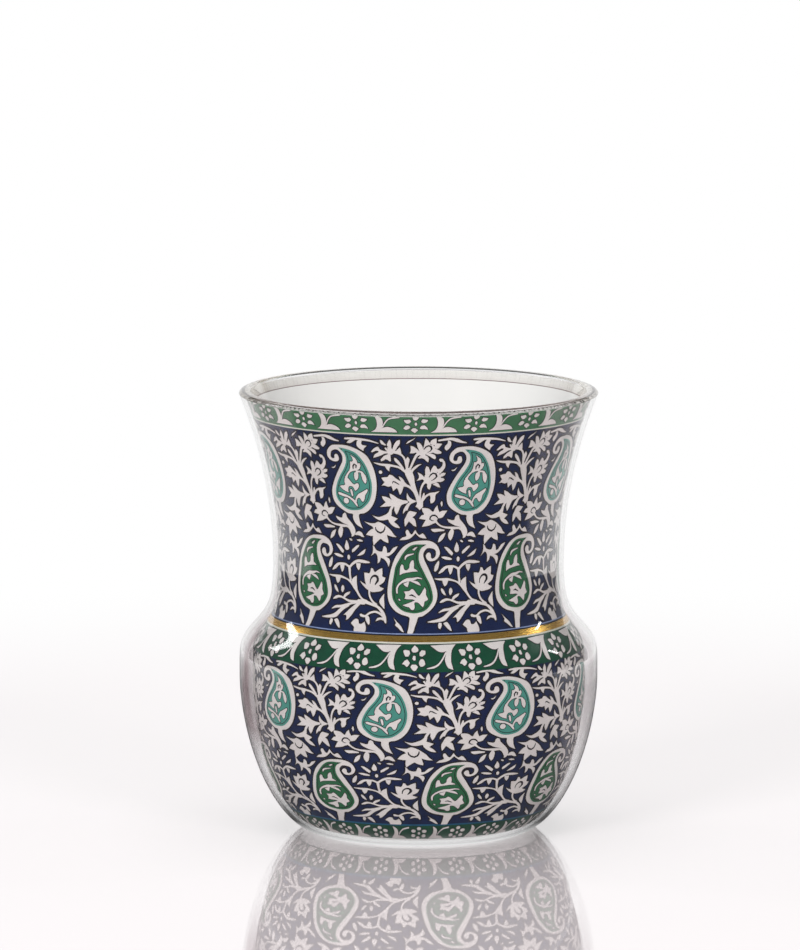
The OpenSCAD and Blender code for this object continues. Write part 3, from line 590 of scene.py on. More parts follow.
TEAL_SPRIG_SHAPES = """
20.3 79.65 20.9 79.1 21.1 78.5 20.6 78.2 19.9 78.25 19.8 77.5 19.6 76.9 19.1 76.3 19.8 76.1 20.8 76.35 \
 22.2 76.4 23.3 76.85 23.8 77.5 23.5 78 22.7 77.9 22.5 78.5 22 79 21.2 79.3
23.6 76.1 24.6 76 25.3 75.5 25.6 74.8 25.4 74.1 25 73.8 24.5 74.1 24 74.6 23.8 75.2 23.6 75.7
21 75.9 20.8 75.3 20.9 74.8 21.3 74.35 21.9 74.5 22.4 75 22.6 75.6 22.5 76.1 21.8 76.2
17.6 75 18.5 74.6 19.2 74.1 20 73.6 20.7 73.5 21.3 73.75 22.1 73.8 22.4 73.3 22 72.8 21.3 72.4 20.7 72.2 \
 20.3 72.6 20 73 19.3 73.15 18.4 73.1 17.9 72.7 17.8 72.2 17.9 71.8 17.2 71.9 16.2 72.15 15.2 72.5 14.4 73 \
 15.3 73.15 16.3 73.2 16.8 73.4 16.6 74 16.8 74.6
18.6 72.4 19.2 72.55 19.6 72 19.7 71.2 19.3 71 18.9 71.5
20.2 70.1 20.9 71 21.8 71.6 22.9 71.9 24.2 72.3 25.4 72.7 25.8 72.5 25.2 71.9 24.5 71.4 24.3 70.8 23.9 \
 70.2 23.3 70 22.7 70.4 22.3 70.8 21.6 70.8 21 70.4 20.9 69.9
"""
TEAL_SPRIG_STROKES = """
19.6 76.3 .35 18.8 75.9 .35 18.1 75.4 .35 17.5 74.8 .6
22 76.25 .35 23.3 76.25 .35 24.3 76.05 .3
13.8 71.5 .5 15.5 71.2 .55 17.2 71 .4 18.6 70.6 .4 19.8 70.1 .5 20.6 69.5 .45 21.1 69.05 .12
"""
TEAL_SPRIG_SPOTS = """
16.5 70.05 .62 .6
"""
TEAL_SPRIG_LINES = """
20.8 76.75 .2 20.8 77.3 .35 21.4 77.75 .35 22.1 77.5 .35 21.9 77 .25
"""
GREEN_SPRIG_SHAPES = """
-2.6 60.55 -1.8 60.4 -.9 60.9 -.5 61.15 -1.6 61
-7.6 55.4 -6.2 55.8 -4.2 56 -2.4 56.15 -.4 56.2 -1.2 56.6 -2 56.8 -1.9 57.6 -2.2 58.5 -3 58.3 -3.7 57.6 \
 -3.8 56.9 -4.9 56.4 -5.9 56.6 -6.2 57.4 -6.8 57.6 -7.4 57.1 -7.6 56.2
-6.2 53.7 -5.6 53.3 -4.5 53 -4.1 53.6 -3.9 54.2
-3.4 54.2 -1.5 53.8 .8 53.3 0 54 -1.4 54.3
2.3 53 2.9 52.4 2.8 51.5 3.7 50.6 2.9 50.3 2.2 50.1 2 49.4 1.5 49 .6 49.5 -.4 49.95 -1.6 50 -1.8 49.6 -1.6 \
 49 -2.1 48.5 -3 48.5 -3.9 49 -5 49.1 -6.5 49.4 -4.2 49.8 -2.8 50.1 -1.5 50.4 -2.6 50.6 -4.4 50.6 -5.7 \
 50.7 -5.3 51.5 -6 52.1 -4.8 52.2 -3.6 52.3 -2.7 52.7 -1.6 52.2 -.6 51.5 .2 51.3 1.2 52
-8.2 50.7 -7.6 50.6 -7.3 50.3 -7.9 50.3
"""
GREEN_SPRIG_STROKES = """
-5.5 58.5 .1 -5.2 59.1 .4 -4.2 59.45 .4 -2 59.75 .15
-8.7 51.8 .3 -8.8 52.7 .4 -8 53.5 .35 -6.5 54.1 .45 -4.5 54.5 .7 -2.5 54.6 .6 -.5 54.9 .3 1.2 54.7 .15
"""
GREEN_SPRIG_LINES = """
-3.9 51.3 .1 -2.8 51.45 .35 -1.2 51 .15
"""

# Borders: one repeat each, as petals, sprig and branch
TOP_BORDER_SHAPES = """
-2.1 87.9 -1.9 87.4 -1.2 87.1 -.3 87.4 .1 87.9
-4.9 87.2 -4.2 87.2 -3 87.3 -2.5 86.9 -3.2 86.5 -3.9 86.45 -4.7 86.8
.7 86.9 1.2 87.4 2.2 87.3 3 87.2 2.6 86.8 1.9 86.6 1.2 86.6
-5.1 85.5 -4.4 86 -3.6 86.1 -2.8 85.8 -3.2 85.4 -4.2 85.15 -4.9 85.3
.2 85.5 .8 86 1.8 86.1 2.6 85.7 3 85.2 1.8 85.35 .8 85.3
-2.7 85.1 -2 85.5 -1.2 85.5 -.3 85.1 -1 84.7 -1.4 84.5 -2 84.75
3.9 84.6 5.2 85 6 85.7 6.2 86.5 6 87.3 5.6 87.75 7.2 87.75 7.9 87.4 8.2 86.6 7.9 85.9 7.8 85.4 8.6 85.6 \
 9.7 85.7 11 85.5 12.2 85.1 12.8 84.6
"""
TOP_BORDER_STROKES = """
7.9 85.6 .2 8.8 86.5 .22 10 87.3 .25 11.6 87.6 .3 13.6 87.7 .2
"""
TOP_BORDER_SPOTS = """
-1 86.35 .22 .35
"""
SHOULDER_BORDER_SHAPES = """
-2.3 39.2 -2 39.7 -1.2 39.7 -1.1 39 -1.7 38.9
-1.5 41.55 -2.6 40.9 -2.4 40.4 -1.4 40.3 -.3 40.5 -.3 41
-5.6 40.6 -4.9 40.75 -3.4 40.6 -3.1 40.1 -3.7 39.6 -4.8 39.6 -5.3 40.1
.2 40.2 1 40.7 2.3 40.6 2.3 40 1.2 39.6 .3 39.7
-5.8 38.3 -4.9 38.9 -4 39.1 -3.1 38.5 -3.6 38 -4.2 37.8 -5 38.2
0 38.5 .6 39.1 1.6 39.1 2.2 38.3 1.4 37.9 .5 37.9
-2.9 37.8 -2.4 38.2 -1 38.2 -.3 37.8 -1 37.2 -1.6 37.05 -2.3 37.3
-15.8 41.5 -11 41.6 -6.4 41.6 -7.6 41 -8.4 40.2 -8.7 39.3 -8.8 38.5 -8.5 37.9 -8.2 37.2 -9.8 37.5 -10.6 \
 38.2 -10.9 39.1 -10.3 40 -10.2 40.5 -11.2 40.3 -12.8 40.4 -14.3 40.9
"""
SHOULDER_BORDER_STROKES = """
-10.4 40.2 .25 -11.6 39.2 .25 -13.2 38.2 .3 -15 37.7 .35 -17.2 37.5 .15
"""
FOOT_BORDER_SHAPES = """
4.5 2.5 5.5 3.1 6.3 3.7 6.4 4.5 6 5.2 7 5 7.9 4.5 8 3.8 7.8 3.2 8.8 3.1 10 3 11.2 2.5
"""
FOOT_BORDER_STROKES = """
8.3 3.4 .15 9 4 .2 10.5 4.7 .25 12.8 5 .3
"""
FOOT_BORDER_SPOTS = """
.1 3.73 .3 .28
.1 4.8 .48 .34
-2.3 4.25 .52 .34
2.4 4.2 .56 .34
-2.5 3.18 .5 .34
2.2 3.12 .48 .36
-.4 2.7 .42 .28
"""

# Paisleys and their fields, as shares of width and height
TEAL_BODY = """0.14 -0.21 0.1 -0.15 0.08 -0.09 0.08 -0.01 0.19 0.01 0.3 0.06 0.39 0.14 0.45 0.23 0.49 0.34 \
 0.51 0.46 0.5 0.61 0.45 0.75 0.37 0.86 0.26 0.92 0.11 0.97 -0.06 1 -0.22 1 -0.36 0.99 -0.43 0.96 -0.49 \
 0.91 -0.51 0.86 -0.5 0.81 -0.45 0.77 -0.38 0.75 -0.31 0.75 -0.26 0.77 -0.25 0.81 -0.27 0.85 -0.31 0.86 \
 -0.34 0.84 -0.35 0.8 -0.39 0.79 -0.43 0.81 -0.43 0.85 -0.41 0.89 -0.35 0.92 -0.28 0.93 -0.22 0.91 -0.17 \
 0.86 -0.16 0.81 -0.18 0.75 -0.24 0.68 -0.36 0.54 -0.45 0.41 -0.49 0.32 -0.49 0.24 -0.46 0.16 -0.38 0.09 \
 -0.27 0.04 -0.16 0 -0.06 -0.01 -0.06 -0.06 -0.03 -0.12 0.03 -0.17"""
TEAL_FIELD = """-0.21 0.96 -0.09 0.95 0.03 0.93 0.15 0.89 0.24 0.82 0.31 0.74 0.36 0.65 0.39 0.56 0.41 \
 0.46 0.4 0.36 0.38 0.29 0.33 0.2 0.25 0.13 0.14 0.07 0.01 0.05 -0.11 0.05 -0.22 0.08 -0.31 0.14 -0.38 \
 0.21 -0.4 0.29 -0.38 0.37 -0.33 0.46 -0.26 0.55 -0.16 0.65 -0.09 0.75 -0.08 0.82 -0.1 0.88 -0.15 0.92"""
GREEN_BODY = """-0.1 -0.21 0.01 -0.21 0.05 -0.13 0.09 -0.06 0.12 0 0.2 0.01 0.29 0.05 0.38 0.1 0.45 0.16 \
 0.49 0.23 0.5 0.3 0.48 0.37 0.43 0.47 0.37 0.56 0.31 0.65 0.25 0.73 0.22 0.79 0.22 0.83 0.25 0.87 0.3 0.9 \
 0.37 0.9 0.43 0.89 0.47 0.86 0.47 0.81 0.45 0.78 0.4 0.76 0.37 0.78 0.37 0.81 0.35 0.84 0.31 0.84 0.28 \
 0.82 0.27 0.79 0.3 0.75 0.35 0.73 0.41 0.73 0.48 0.75 0.53 0.79 0.55 0.84 0.53 0.89 0.49 0.94 0.41 0.98 \
 0.31 1 0.19 1 0.05 0.99 -0.08 0.96 -0.19 0.91 -0.29 0.83 -0.36 0.75 -0.42 0.64 -0.46 0.53 -0.49 0.41 -0.5 \
 0.31 -0.48 0.21 -0.43 0.14 -0.33 0.07 -0.21 0.03 -0.06 0 -0.06 -0.06 -0.07 -0.13"""
GREEN_FIELD = """0.28 0.95 0.16 0.95 0.06 0.95 -0.04 0.93 -0.13 0.88 -0.21 0.81 -0.28 0.73 -0.34 0.65 \
 -0.37 0.54 -0.4 0.43 -0.41 0.33 -0.4 0.25 -0.36 0.19 -0.29 0.13 -0.19 0.08 -0.08 0.06 0.03 0.05 0.15 0.06 \
 0.26 0.09 0.34 0.14 0.4 0.21 0.41 0.27 0.39 0.34 0.35 0.43 0.28 0.52 0.22 0.6 0.16 0.68 0.13 0.75 0.13 \
 0.82 0.15 0.87 0.19 0.91"""

# How flat the print is drawn: mm of width for one degree of turn
FLAT = 0.541


def numbers(text, width):
    """One array for each line of text, with so many numbers in a row."""
    return [np.array(line.split(), float).reshape(-1, width) for line in text.strip().splitlines()]


def curve(points, closed, pitch=0.42):
    """Hermite curve through the points: the tangent is the chord of the neighbours, as long as the shorter side,
    and nothing at a sharp corner. More columns than two run straight from point to point."""
    before, after = np.roll(points, 1, 0), np.roll(points, -1, 0)
    if not closed:
        before[0], after[-1] = points[0], points[-1]
    back, ahead = (points - before)[:, :2], (after - points)[:, :2]
    back_size, ahead_size = np.hypot(*back.T), np.hypot(*ahead.T)
    size = np.minimum(back_size, ahead_size)
    cosine = (back * ahead).sum(1) / np.maximum(back_size * ahead_size, 1e-9)
    size = np.where(cosine < 0.05, 0, size)
    chord = back + ahead
    tangent = chord / np.maximum(np.hypot(*chord.T), 1e-9)[:, None] * size[:, None]
    steps = int(np.clip(round(np.mean(ahead_size[:None if closed else -1]) / pitch), 1, 6))
    t = (np.arange(steps) / steps)[None, :, None]
    a, b = points[:, None, :2], after[:, None, :2]
    m, n = tangent[:, None], np.roll(tangent, -1, 0)[:, None]
    flat = (2 * t ** 3 - 3 * t ** 2 + 1) * a + (t ** 3 - 2 * t ** 2 + t) * m
    flat = flat + (3 * t ** 2 - 2 * t ** 3) * b + (t ** 3 - t ** 2) * n
    rest = points[:, None, 2:] * (1 - t) + after[:, None, 2:] * t
    run = np.concatenate([flat, rest], axis=2)
    if closed:
        return run.reshape(-1, points.shape[1])
    return np.concatenate([run[:-1].reshape(-1, points.shape[1]), points[-1:]])


def ribbon(line):
    """Outline of a brush stroke: its middle moved half its width to each side, with a pointed end."""
    line = curve(line, False)
    way = np.gradient(line[:, :2], axis=0)
    way = way / np.maximum(np.hypot(*way.T), 1e-9)[:, None]
    half = line[:, 2:] / 2
    side = np.stack([-way[:, 1], way[:, 0]], axis=1) * half
    middle = line[:, :2]
    start, end = middle[:1] - way[:1] * half[:1], middle[-1:] + way[-1:] * half[-1:]
    return np.concatenate([start, middle - side, end, (middle + side)[::-1]])


def spot(place):
    """An ellipse: centre plus half width times cosine and half height times sine."""
    x, z, wide, tall = place
    turn = np.arange(12) * math.pi / 6
    return np.stack([x + wide * np.cos(turn), z + tall * np.sin(turn)], axis=1)


def anticlockwise(outline):
    """The outline turned round if its signed area, half the sum of cross products, is negative."""
    after = np.roll(outline, -1, 0)
    area = (outline[:, 0] * after[:, 1] - after[:, 0] * outline[:, 1]).sum()
    return outline if area > 0 else outline[::-1]


def grown(outline, by):
    """The outline moved outwards along the mean of its two edge normals, longer at corners up to a limit."""
    edge = np.roll(outline, -1, 0) - outline
    normal = np.stack([edge[:, 1], -edge[:, 0]], axis=1)
    normal = normal / np.maximum(np.hypot(*normal.T), 1e-9)[:, None]
    both = normal + np.roll(normal, 1, 0)
    size = np.maximum(np.hypot(*both.T), 1e-9)
    return outline + both / size[:, None] * (by / np.maximum(size / 2, 0.6))[:, None]


def drawn(shapes="", strokes="", spots=""):
    """All outlines of a drawing in flat mm, each anticlockwise."""
    flat = np.array([FLAT, 1])
    made = [curve(shape * flat, True) for shape in numbers(shapes, 2)] if shapes else []
    wide = np.array([FLAT, 1, 1])
    made += [ribbon(line * wide) for line in numbers(strokes, 3)] if strokes else []
    made += [spot(place[0] * np.array([FLAT, 1, 1, 1])) for place in numbers(spots, 4)] if spots else []
    return [anticlockwise(outline) for outline in made]


def row_outline(shares, low, high, width, turn, by=0.0):
    """A paisley cut square to the axis: turn + asin(x / radius), height from low to high."""
    points = curve(shares * np.array([width, high - low]), True)
    points = grown(anticlockwise(points), by) + np.array([0, low])
    angle = turn + np.arcsin(points[:, 0] / (cup_radius(points[:, 1]) + CREAM_DEPTH)) / DEGREE
    return np.stack([angle * FLAT, points[:, 1]], axis=1)


def covered(outlines, points):
    """Which points lie in any outline: the winding number is the sum of signed crossings of a ray to the right."""
    found = np.zeros(len(points), bool)
    for outline in outlines:
        low, high = outline.min(0), outline.max(0)
        near = np.flatnonzero(((points >= low) & (points <= high)).all(1) & ~found)
        if not len(near):
            continue
        x, y = points[near].T[:, :, None]
        after = np.roll(outline, -1, 0)
        ax, ay, bx, by = outline[:, 0], outline[:, 1], after[:, 0], after[:, 1]
        left = (bx - ax) * (y - ay) - (x - ax) * (by - ay)
        winding = ((ay <= y) & (by > y) & (left > 0)).sum(1) - ((ay > y) & (by <= y) & (left < 0)).sum(1)
        found[near] = winding != 0
    return found


class Cell:
    """One repeat of a printed band, cut into triangles along every outline drawn on it."""

    def __init__(self, low, high, start, repeats, drawings, pitch=1.5):
        self.repeats = repeats
        self.width = 360 / repeats * FLAT
        left, right = start * FLAT, start * FLAT + self.width
        points, edges, kept = [], [], {}
        count = 0
        for name, outlines in drawings.items():
            kept[name] = []
            for outline in outlines:
                for move in (-self.width, 0, self.width):
                    moved = outline + np.array([move, 0])
                    if moved[:, 0].max() < left or moved[:, 0].min() > right:
                        continue
                    if moved[:, 1].max() < low or moved[:, 1].min() > high:
                        continue
                    kept[name].append(moved)
                    place = count + np.arange(len(moved))
                    edges.append(np.stack([place, np.roll(place, -1)], axis=1))
                    points.append(moved)
                    count += len(moved)
        across = np.linspace(left, right, int(math.ceil(self.width / pitch)) + 1)
        up = np.linspace(low, high, int(math.ceil((high - low) / pitch)) + 1)
        grid = np.stack(np.meshgrid(across, up, indexing="ij"), axis=-1)
        points.append(grid.reshape(-1, 2))
        place = count + np.arange(grid.shape[0] * grid.shape[1]).reshape(grid.shape[:2])
        for line in (place[0], place[-1], place[:, 0], place[:, -1]):
            edges.append(np.stack([line[:-1], line[1:]], axis=1))
        flat_points = np.concatenate(points).tolist()
        flat_edges = np.concatenate(edges).tolist()
        cut = delaunay_2d_cdt([Vector(point) for point in flat_points], flat_edges, [], 0, 1e-5, False)
        self.points = np.array([tuple(point) for point in cut[0]])
        self.triangles = np.array([face for face in cut[2] if len(face) == 3])
        middle = self.points[self.triangles].mean(1)
        inside = (middle[:, 0] > left) & (middle[:, 0] < right) & (middle[:, 1] > low) & (middle[:, 1] < high)
        self.triangles = self.triangles[inside]
        self.inside = {name: covered(outlines, middle[inside]) for name, outlines in kept.items()}

    def raised(self, name, mask, inner, outer, finish, node=None):
        """A closed thin layer all round the cup: the masked triangles at the outer depth, the same turned round
        at the inner depth, and an edge between them wherever the mask ends."""
        merge = 360 * FLAT / round(360 * FLAT / 0.002)
        whole = int(round(360 * FLAT / merge))
        moves = np.arange(self.repeats)[:, None] * self.width
        x = (self.points[:, 0][None] + moves).ravel()
        z = np.tile(self.points[:, 1], self.repeats)
        keys = np.stack([np.round(x / merge).astype(int) % whole, np.round(z / 0.002).astype(int)], axis=1)
        _, first, place = np.unique(keys, axis=0, return_index=True, return_inverse=True)
        place = place.ravel()
        triangles = self.triangles[mask][None] + (np.arange(self.repeats) * len(self.points))[:, None, None]
        triangles = place[triangles.reshape(-1, 3)]
        a, b, c = triangles.T
        triangles = triangles[(a != b) & (b != c) & (a != c)]
        used, triangles = np.unique(triangles, return_inverse=True)
        triangles = triangles.reshape(-1, 3)
        x, z = x[first[used]], z[first[used]]
        edges = np.concatenate([triangles[:, [0, 1]], triangles[:, [1, 2]], triangles[:, [2, 0]]])
        total = len(used)
        rim = edges[~np.isin(edges[:, 0] * total + edges[:, 1], edges[:, 1] * total + edges[:, 0])]
        walls = np.stack([rim[:, 1], rim[:, 0], rim[:, 0] + total, rim[:, 1] + total], axis=1)
        angle = x / FLAT * DEGREE
        sheets = []
        for depth in (outer, inner):
            r, height = wall(cup_radius, z, depth).T
            sheets.append(np.stack([r * np.sin(angle), -r * np.cos(angle), height], axis=1))
        faces = triangles.tolist() + (triangles[:, ::-1] + total).tolist() + walls.tolist()
        made = piece(name, np.concatenate(sheets), faces, finish, node)
        return made


def on_neck(outline):
    """The drawing fitted to the neck: below the teal row the plants between two green paisleys close up."""
    turn, z = outline[:, 0] / FLAT + 2.6, outline[:, 1]
    low = np.clip((66 - z) / 3, 0, 1)
    beyond = np.sign(turn) * np.clip(np.abs(turn) - 10, 0, None)
    return np.stack([(turn - 0.074 * low * beyond - 2.6) * FLAT, z], axis=1)


def on_belly(outline):
    """The same drawing fitted to the belly: moved round, and its heights set to the belly's own."""
    turn, z = outline[:, 0] / FLAT + 2.6, outline[:, 1]
    low = np.clip((66 - z) / 3, 0, 1)
    beyond = np.sign(turn) * np.clip(np.abs(turn) - 10, 0, None)
    near = turn - beyond
    turn = near * (1 + 0.015 * low) + beyond * (1 - 0.085 * low)
    height = np.interp(z, (43.8, 47.05, 62.4, 67.5, 81.5, 83.85), (5.7, 7.7, 18.75, 23.3, 35.3, 37.3))
    return np.stack([(turn + 10.7 + 0.5 * low) * FLAT, height], axis=1)


def share_row(text):
    """Outline shares of a paisley, read as pairs."""
    return numbers(text, 2)[0]


def dress(zone, low, high, start, fit, teal, green, heights):
    """Prints one zone: plants and dark outlines, cream bodies, coloured fields, and the sprigs on the fields."""
    plants = drawn(FLOWER_SHAPES + LEAF_SHAPES.lstrip("\n"), VINE_STROKES, SPOTS)
    lines = drawn("", FLOWER_LINES)
    teal_low, teal_high, green_low, green_high = heights
    teal_row = (teal_low, teal_high) + teal
    green_row = (green_low, green_high) + green
    teal_sprig = drawn(TEAL_SPRIG_SHAPES, TEAL_SPRIG_STROKES, TEAL_SPRIG_SPOTS)
    green_sprig = drawn(GREEN_SPRIG_SHAPES, GREEN_SPRIG_STROKES)
    drawings = {
        "plants": [fit(outline) for outline in plants],
        "lines": [fit(outline) for outline in lines],
        "halo": [fit(grown(outline, 0.3)) for outline in plants],
        "teal": [row_outline(share_row(TEAL_BODY), *teal_row)],
        "green": [row_outline(share_row(GREEN_BODY), *green_row)],
        "body_halo": [row_outline(share_row(TEAL_BODY), *teal_row, 0.3),
                      row_outline(share_row(GREEN_BODY), *green_row, 0.3)],
        "teal_field": [row_outline(share_row(TEAL_FIELD), *teal_row)],
        "green_field": [row_outline(share_row(GREEN_FIELD), *green_row)],
        "ring_out": [row_outline(share_row(TEAL_FIELD), *teal_row, -0.36),
                     row_outline(share_row(GREEN_FIELD), *green_row, -0.36)],
        "ring_in": [row_outline(share_row(TEAL_FIELD), *teal_row, -0.5),
                    row_outline(share_row(GREEN_FIELD), *green_row, -0.5)],
        "sprig": [fit(outline) for outline in teal_sprig + green_sprig],
        "sprig_halo": [fit(grown(outline, 0.15)) for outline in teal_sprig + green_sprig],
        "sprig_lines": [fit(outline) for outline in drawn("", TEAL_SPRIG_LINES + GREEN_SPRIG_LINES.lstrip("\n"))],
    }
    cell = Cell(low, high, start, 8, drawings)
    on = cell.inside
    bodies = on["teal"] | on["green"]
    fields = on["teal_field"] | on["green_field"]
    cream = on["plants"] & ~on["lines"] & ~on["body_halo"]
    dark = (on["halo"] | on["body_halo"] | on["lines"]) & ~cream & ~bodies
    cell.raised(zone + "_plants", cream, CREAM_DEPTH, FIELD_DEPTH, CREAM)
    cell.raised(zone + "_outlines", dark, CREAM_DEPTH, CREAM_DEPTH + 0.05, OUTLINE)
    cell.raised(zone + "_teal_bodies", on["teal"], CREAM_DEPTH, FIELD_DEPTH, CREAM,
                zone + "_teal_paisleys")
    cell.raised(zone + "_green_bodies", on["green"], CREAM_DEPTH, FIELD_DEPTH, CREAM,
                zone + "_green_paisleys")
    cell.raised(zone + "_teal_inlays", on["teal_field"], FIELD_DEPTH, SPRIG_DEPTH, TEAL,
                zone + "_teal_fields")
    cell.raised(zone + "_green_inlays", on["green_field"], FIELD_DEPTH, SPRIG_DEPTH, LEAF_GREEN,
                zone + "_green_fields")
    sprig = on["sprig"] & on["ring_in"] & ~on["sprig_lines"]
    ring = on["ring_out"] & ~on["ring_in"]
    veins = fields & ~sprig & (ring | on["ring_in"] & (on["sprig_halo"] | on["sprig_lines"]))
    cell.raised(zone + "_sprigs", sprig, SPRIG_DEPTH, SPRIG_DEPTH + 0.05, CREAM)
    cell.raised(zone + "_sprig_outlines", veins, SPRIG_DEPTH, SPRIG_DEPTH + 0.03, OUTLINE)


def border(zone, low, high, start, repeats, shapes, halo):
    """Prints a border: cream flowers and sprigs with a thin dark outline, repeated round the glass."""
    cell = Cell(low, high, start, repeats, {"flowers": shapes, "halo": [grown(shape, halo) for shape in shapes]}, 1.2)
    cream = cell.inside["flowers"]
    cell.raised(zone + "_flowers", cream, CREAM_DEPTH, FIELD_DEPTH, CREAM)
    cell.raised(zone + "_outlines", cell.inside["halo"] & ~cream, CREAM_DEPTH, CREAM_DEPTH + 0.05, OUTLINE)


def share_height(low, high, share):
    """Height at a share of the way up: low + (high - low) share."""
    return low + (high - low) * share


dress("neck", BLUE_LINE_TOP_Z, TOP_LINE_Z, -22.5, on_neck, (9.7, 19.8), (9.7, -2.6),
      [share_height(BLUE_LINE_TOP_Z, TOP_LINE_Z, share) for share in (0.592, 0.941, 0.081, 0.464)])
dress("belly", FOOT_LINE_TOP_Z, SHOULDER_BORDER_Z, -9.0, on_belly, (11.2, 33.1), (10.4, 11.2),
      [share_height(FOOT_LINE_TOP_Z, SHOULDER_BORDER_Z, share) for share in (0.56, 0.95, 0.064, 0.419)])
border("top_border", TOP_BORDER_Z, PRINT_TOP_Z, -6.0, 18,
       drawn(TOP_BORDER_SHAPES, TOP_BORDER_STROKES, TOP_BORDER_SPOTS), 0.12)
border("shoulder_border", SHOULDER_BORDER_Z, PALE_LINE_Z, -17.5, 18,
       drawn(SHOULDER_BORDER_SHAPES, SHOULDER_BORDER_STROKES), 0.14)
border("foot_border", PRINT_FOOT_Z, FOOT_BORDER_TOP_Z, -4.3, 21,
       drawn(FOOT_BORDER_SHAPES, FOOT_BORDER_STROKES, FOOT_BORDER_SPOTS), 0.1)

# Floor, backdrop, lamps and camera

# The wall stands behind the glass only: half its turn in degrees, its distance, foot and top in metres
WALL_TURN, WALL_AWAY, WALL_FOOT, WALL_TOP = 40, 2.4, -0.8, 0.9
TABLE_RADII = (0.02, 0.1, 0.35)
# The room's light on the glass, and how bright the room is in a reflection and through clear glass
ROOM_LIGHT, ROOM_MIRRORED, ROOM_THROUGH_GLASS = 0.35, 0.02, 0.15


def stage_piece(name, points, faces, finish):
    """A piece of the studio, in metres, that isn't part of the glass."""
    mesh = bpy.data.meshes.new(name)
    mesh.from_pydata(points, [], faces)
    mesh.shade_smooth()
    mesh.materials.append(finish)
    made = bpy.data.objects.new(name, mesh)
    bpy.context.collection.objects.link(made)


def shown_white(tree, shader, where, mirrored):
    """The shader, but plain white to the camera, and so bright in a reflection. Clear glass shows it
    white on the far side of the table and dim on the near side, where the room is darker. Far behind the
    glass the table is mirrored as bright as the wall, so that no edge shows between them."""
    ray = tree.node("LightPath")
    far_side = tree.node("SeparateXYZ", None, tree.where())["Y"]
    far_side = tree.node("MapRange", {"interpolation_type": "SMOOTHSTEP"}, far_side, 0.0, 0.02, 0.0, 1.0)["Result"]
    seen = tree.node("Math", {"operation": "MAXIMUM"}, ray["Is Camera Ray"], ray["Is Transmission Ray"])["Value"]
    mirror = ray["Is Glossy Ray"] * (1.0 - ray["Is Transmission Ray"] * far_side)
    seen = tree.node("Math", {"operation": "MAXIMUM"}, seen * where, mirror)["Value"]
    mirrored = tree.node("Math", {"operation": "MAXIMUM"}, far_side * where, mirrored)["Value"]
    grey = 1.0 - mirror * (1.0 - mirrored) * (1.0 - ray["Is Transmission Ray"] * ROOM_THROUGH_GLASS)
    white = tree.node("Emission", None, tree.mix_colour(grey, (0.0, 0.0, 0.0), (1.0, 1.0, 1.0)), 1.0)["Emission"]
    return tree.end(tree.node("MixShader", None, seen, shader, white)["Shader"])


def polished_table():
    """Pale polished table top: it mirrors the glass, and far from the glass it fades into the white around.
    Right under the glass's foot it glows near white in reflections: painted light that brightens the clear foot.
    """
    tree = Tree(bpy.data.materials.new("polished_table"))
    place = tree.where()
    far = tree.node("VectorMath", {"operation": "LENGTH"}, place)["Value"]
    # Painted light: within 21 mm of the axis the table shows near white in reflections, and it is dim beyond 26 mm.
    glow_under_foot = tree.node("MapRange", None, far, 0.021, 0.026, 0.9, 0.02)["Result"]
    fade = tree.node("MapRange", {"interpolation_type": "SMOOTHSTEP"}, far, 0.15, 0.32, 0.0, 1.0)["Result"]
    colour = tree.mix_colour(tree.grain(9, 2), (0.94, 0.86, 0.88), (0.96, 0.89, 0.91))
    slant = tree.node("LayerWeight", None, Blend=0.5)["Facing"]
    shine = tree.node("MapRange", None, slant, 0.5, 1.04, 0.0, 1.0)["Result"]
    matt = tree.node("BsdfDiffuse", None, colour)["BSDF"]
    polish = tree.node("BsdfGlossy", None, (1.0, 1.0, 1.0), 0.02)["BSDF"]
    top = tree.node("MixShader", None, shine, matt, polish)["Shader"]
    return shown_white(tree, top, fade, glow_under_foot)


def studio_wall():
    """The white wall behind the table: matt for light, white to look at."""
    tree = Tree(bpy.data.materials.new("white_studio_wall"))
    colour = tree.mix_colour(tree.grain(3, 2), (0.86, 0.86, 0.86), (0.88, 0.88, 0.88))
    return shown_white(tree, tree.node("BsdfDiffuse", None, colour)["BSDF"], 1.0, 1.0)


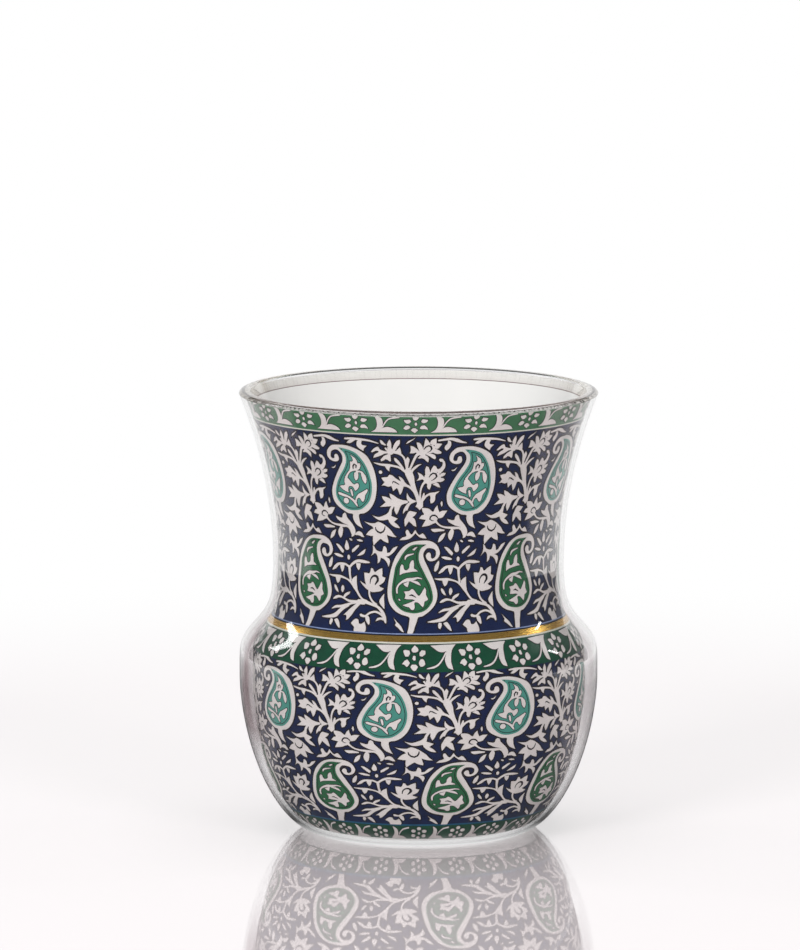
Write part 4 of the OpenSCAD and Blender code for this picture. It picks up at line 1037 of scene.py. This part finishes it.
def studio():
    """A round table, rings of growing radius, and behind it a wall, an arc of one radius at two heights."""
    turn = np.arange(96) * math.pi / 48
    ring = np.stack([np.sin(turn), -np.cos(turn)], axis=1)
    around = np.arange(96)
    quads = np.stack([around, np.roll(around, -1), np.roll(around, -1) + 96, around + 96], axis=1)
    points = np.concatenate([np.column_stack([ring * radius, np.zeros(96)]) for radius in TABLE_RADII])
    faces = [around.tolist()] + np.concatenate([quads[:, ::-1], quads[:, ::-1] + 96]).tolist()
    stage_piece("table_top", points.tolist(), faces, polished_table())
    turn = np.linspace(-WALL_TURN, WALL_TURN, 49) * DEGREE
    arc = np.stack([np.sin(turn), np.cos(turn)], axis=1) * WALL_AWAY
    points = np.concatenate([np.column_stack([arc, np.full(49, height)]) for height in (WALL_FOOT, WALL_TOP)])
    below = np.arange(48)
    quads = np.stack([below, below + 1, below + 50, below + 49], axis=1)
    stage_piece("studio_wall", points.tolist(), quads.tolist(), studio_wall())


def lamp(name, place, size, watts, mirrored, tone=(1, 1, 1)):
    """A rectangular soft lamp that looks at the glass; mirrored says if it shows in reflections."""
    data = bpy.data.lights.new(name, "AREA")
    data.shape = "RECTANGLE"
    data.size, data.size_y = size
    data.energy = watts
    data.color = tone
    made = bpy.data.objects.new(name, data)
    x, y, z = place
    made.location = place
    made.rotation_euler = (math.atan2(math.hypot(x, y), z - 0.05), 0, math.atan2(x, -y))
    made.visible_glossy = mirrored
    made.visible_transmission = mirrored
    bpy.context.collection.objects.link(made)


studio()
lamp("left_window", (-1.2, 0.7, 0.85), (0.2, 0.42), 1.5, True)
lamp("right_strip", (1.15, 0.42, 0.7), (0.05, 0.25), 0.6, True)
lamp("front_left_soft", (-0.9, -1.2, 0.7), (0.5, 0.5), 12, False)
lamp("front_right_soft", (0.9, -1.2, 0.7), (0.5, 0.5), 7, False, (1.0, 0.98, 0.97))
lamp("top_soft", (0, 0.1, 1.5), (0.9, 0.9), 8, False)

world = bpy.data.worlds.new("studio_air")
bpy.context.scene.world = world
air = Tree(world)
air_ray = air.node("LightPath")
mirrored_air = air_ray["Is Glossy Ray"] * (ROOM_LIGHT - ROOM_MIRRORED)
air_in_glass = air_ray["Is Transmission Ray"] * (ROOM_THROUGH_GLASS - ROOM_MIRRORED)
strength = ROOM_LIGHT - mirrored_air + air_in_glass + air_ray["Is Camera Ray"] * (1 - ROOM_LIGHT)
shine = air.node("Background", None, (1.0, 1.0, 1.0), strength)["Background"]
air.end(shine, "OutputWorld")

camera_data = bpy.data.cameras.new("camera")
camera_data.lens = 297.5
camera_data.sensor_width = 36
camera = bpy.data.objects.new("camera", camera_data)
camera.location = (-0.0037, -1.550, 0.295)
camera.rotation_euler = (math.pi / 2 - 0.14339, 0, 0)
bpy.context.collection.objects.link(camera)
bpy.context.scene.camera = camera
bpy.context.scene.view_settings.view_transform = "Standard"
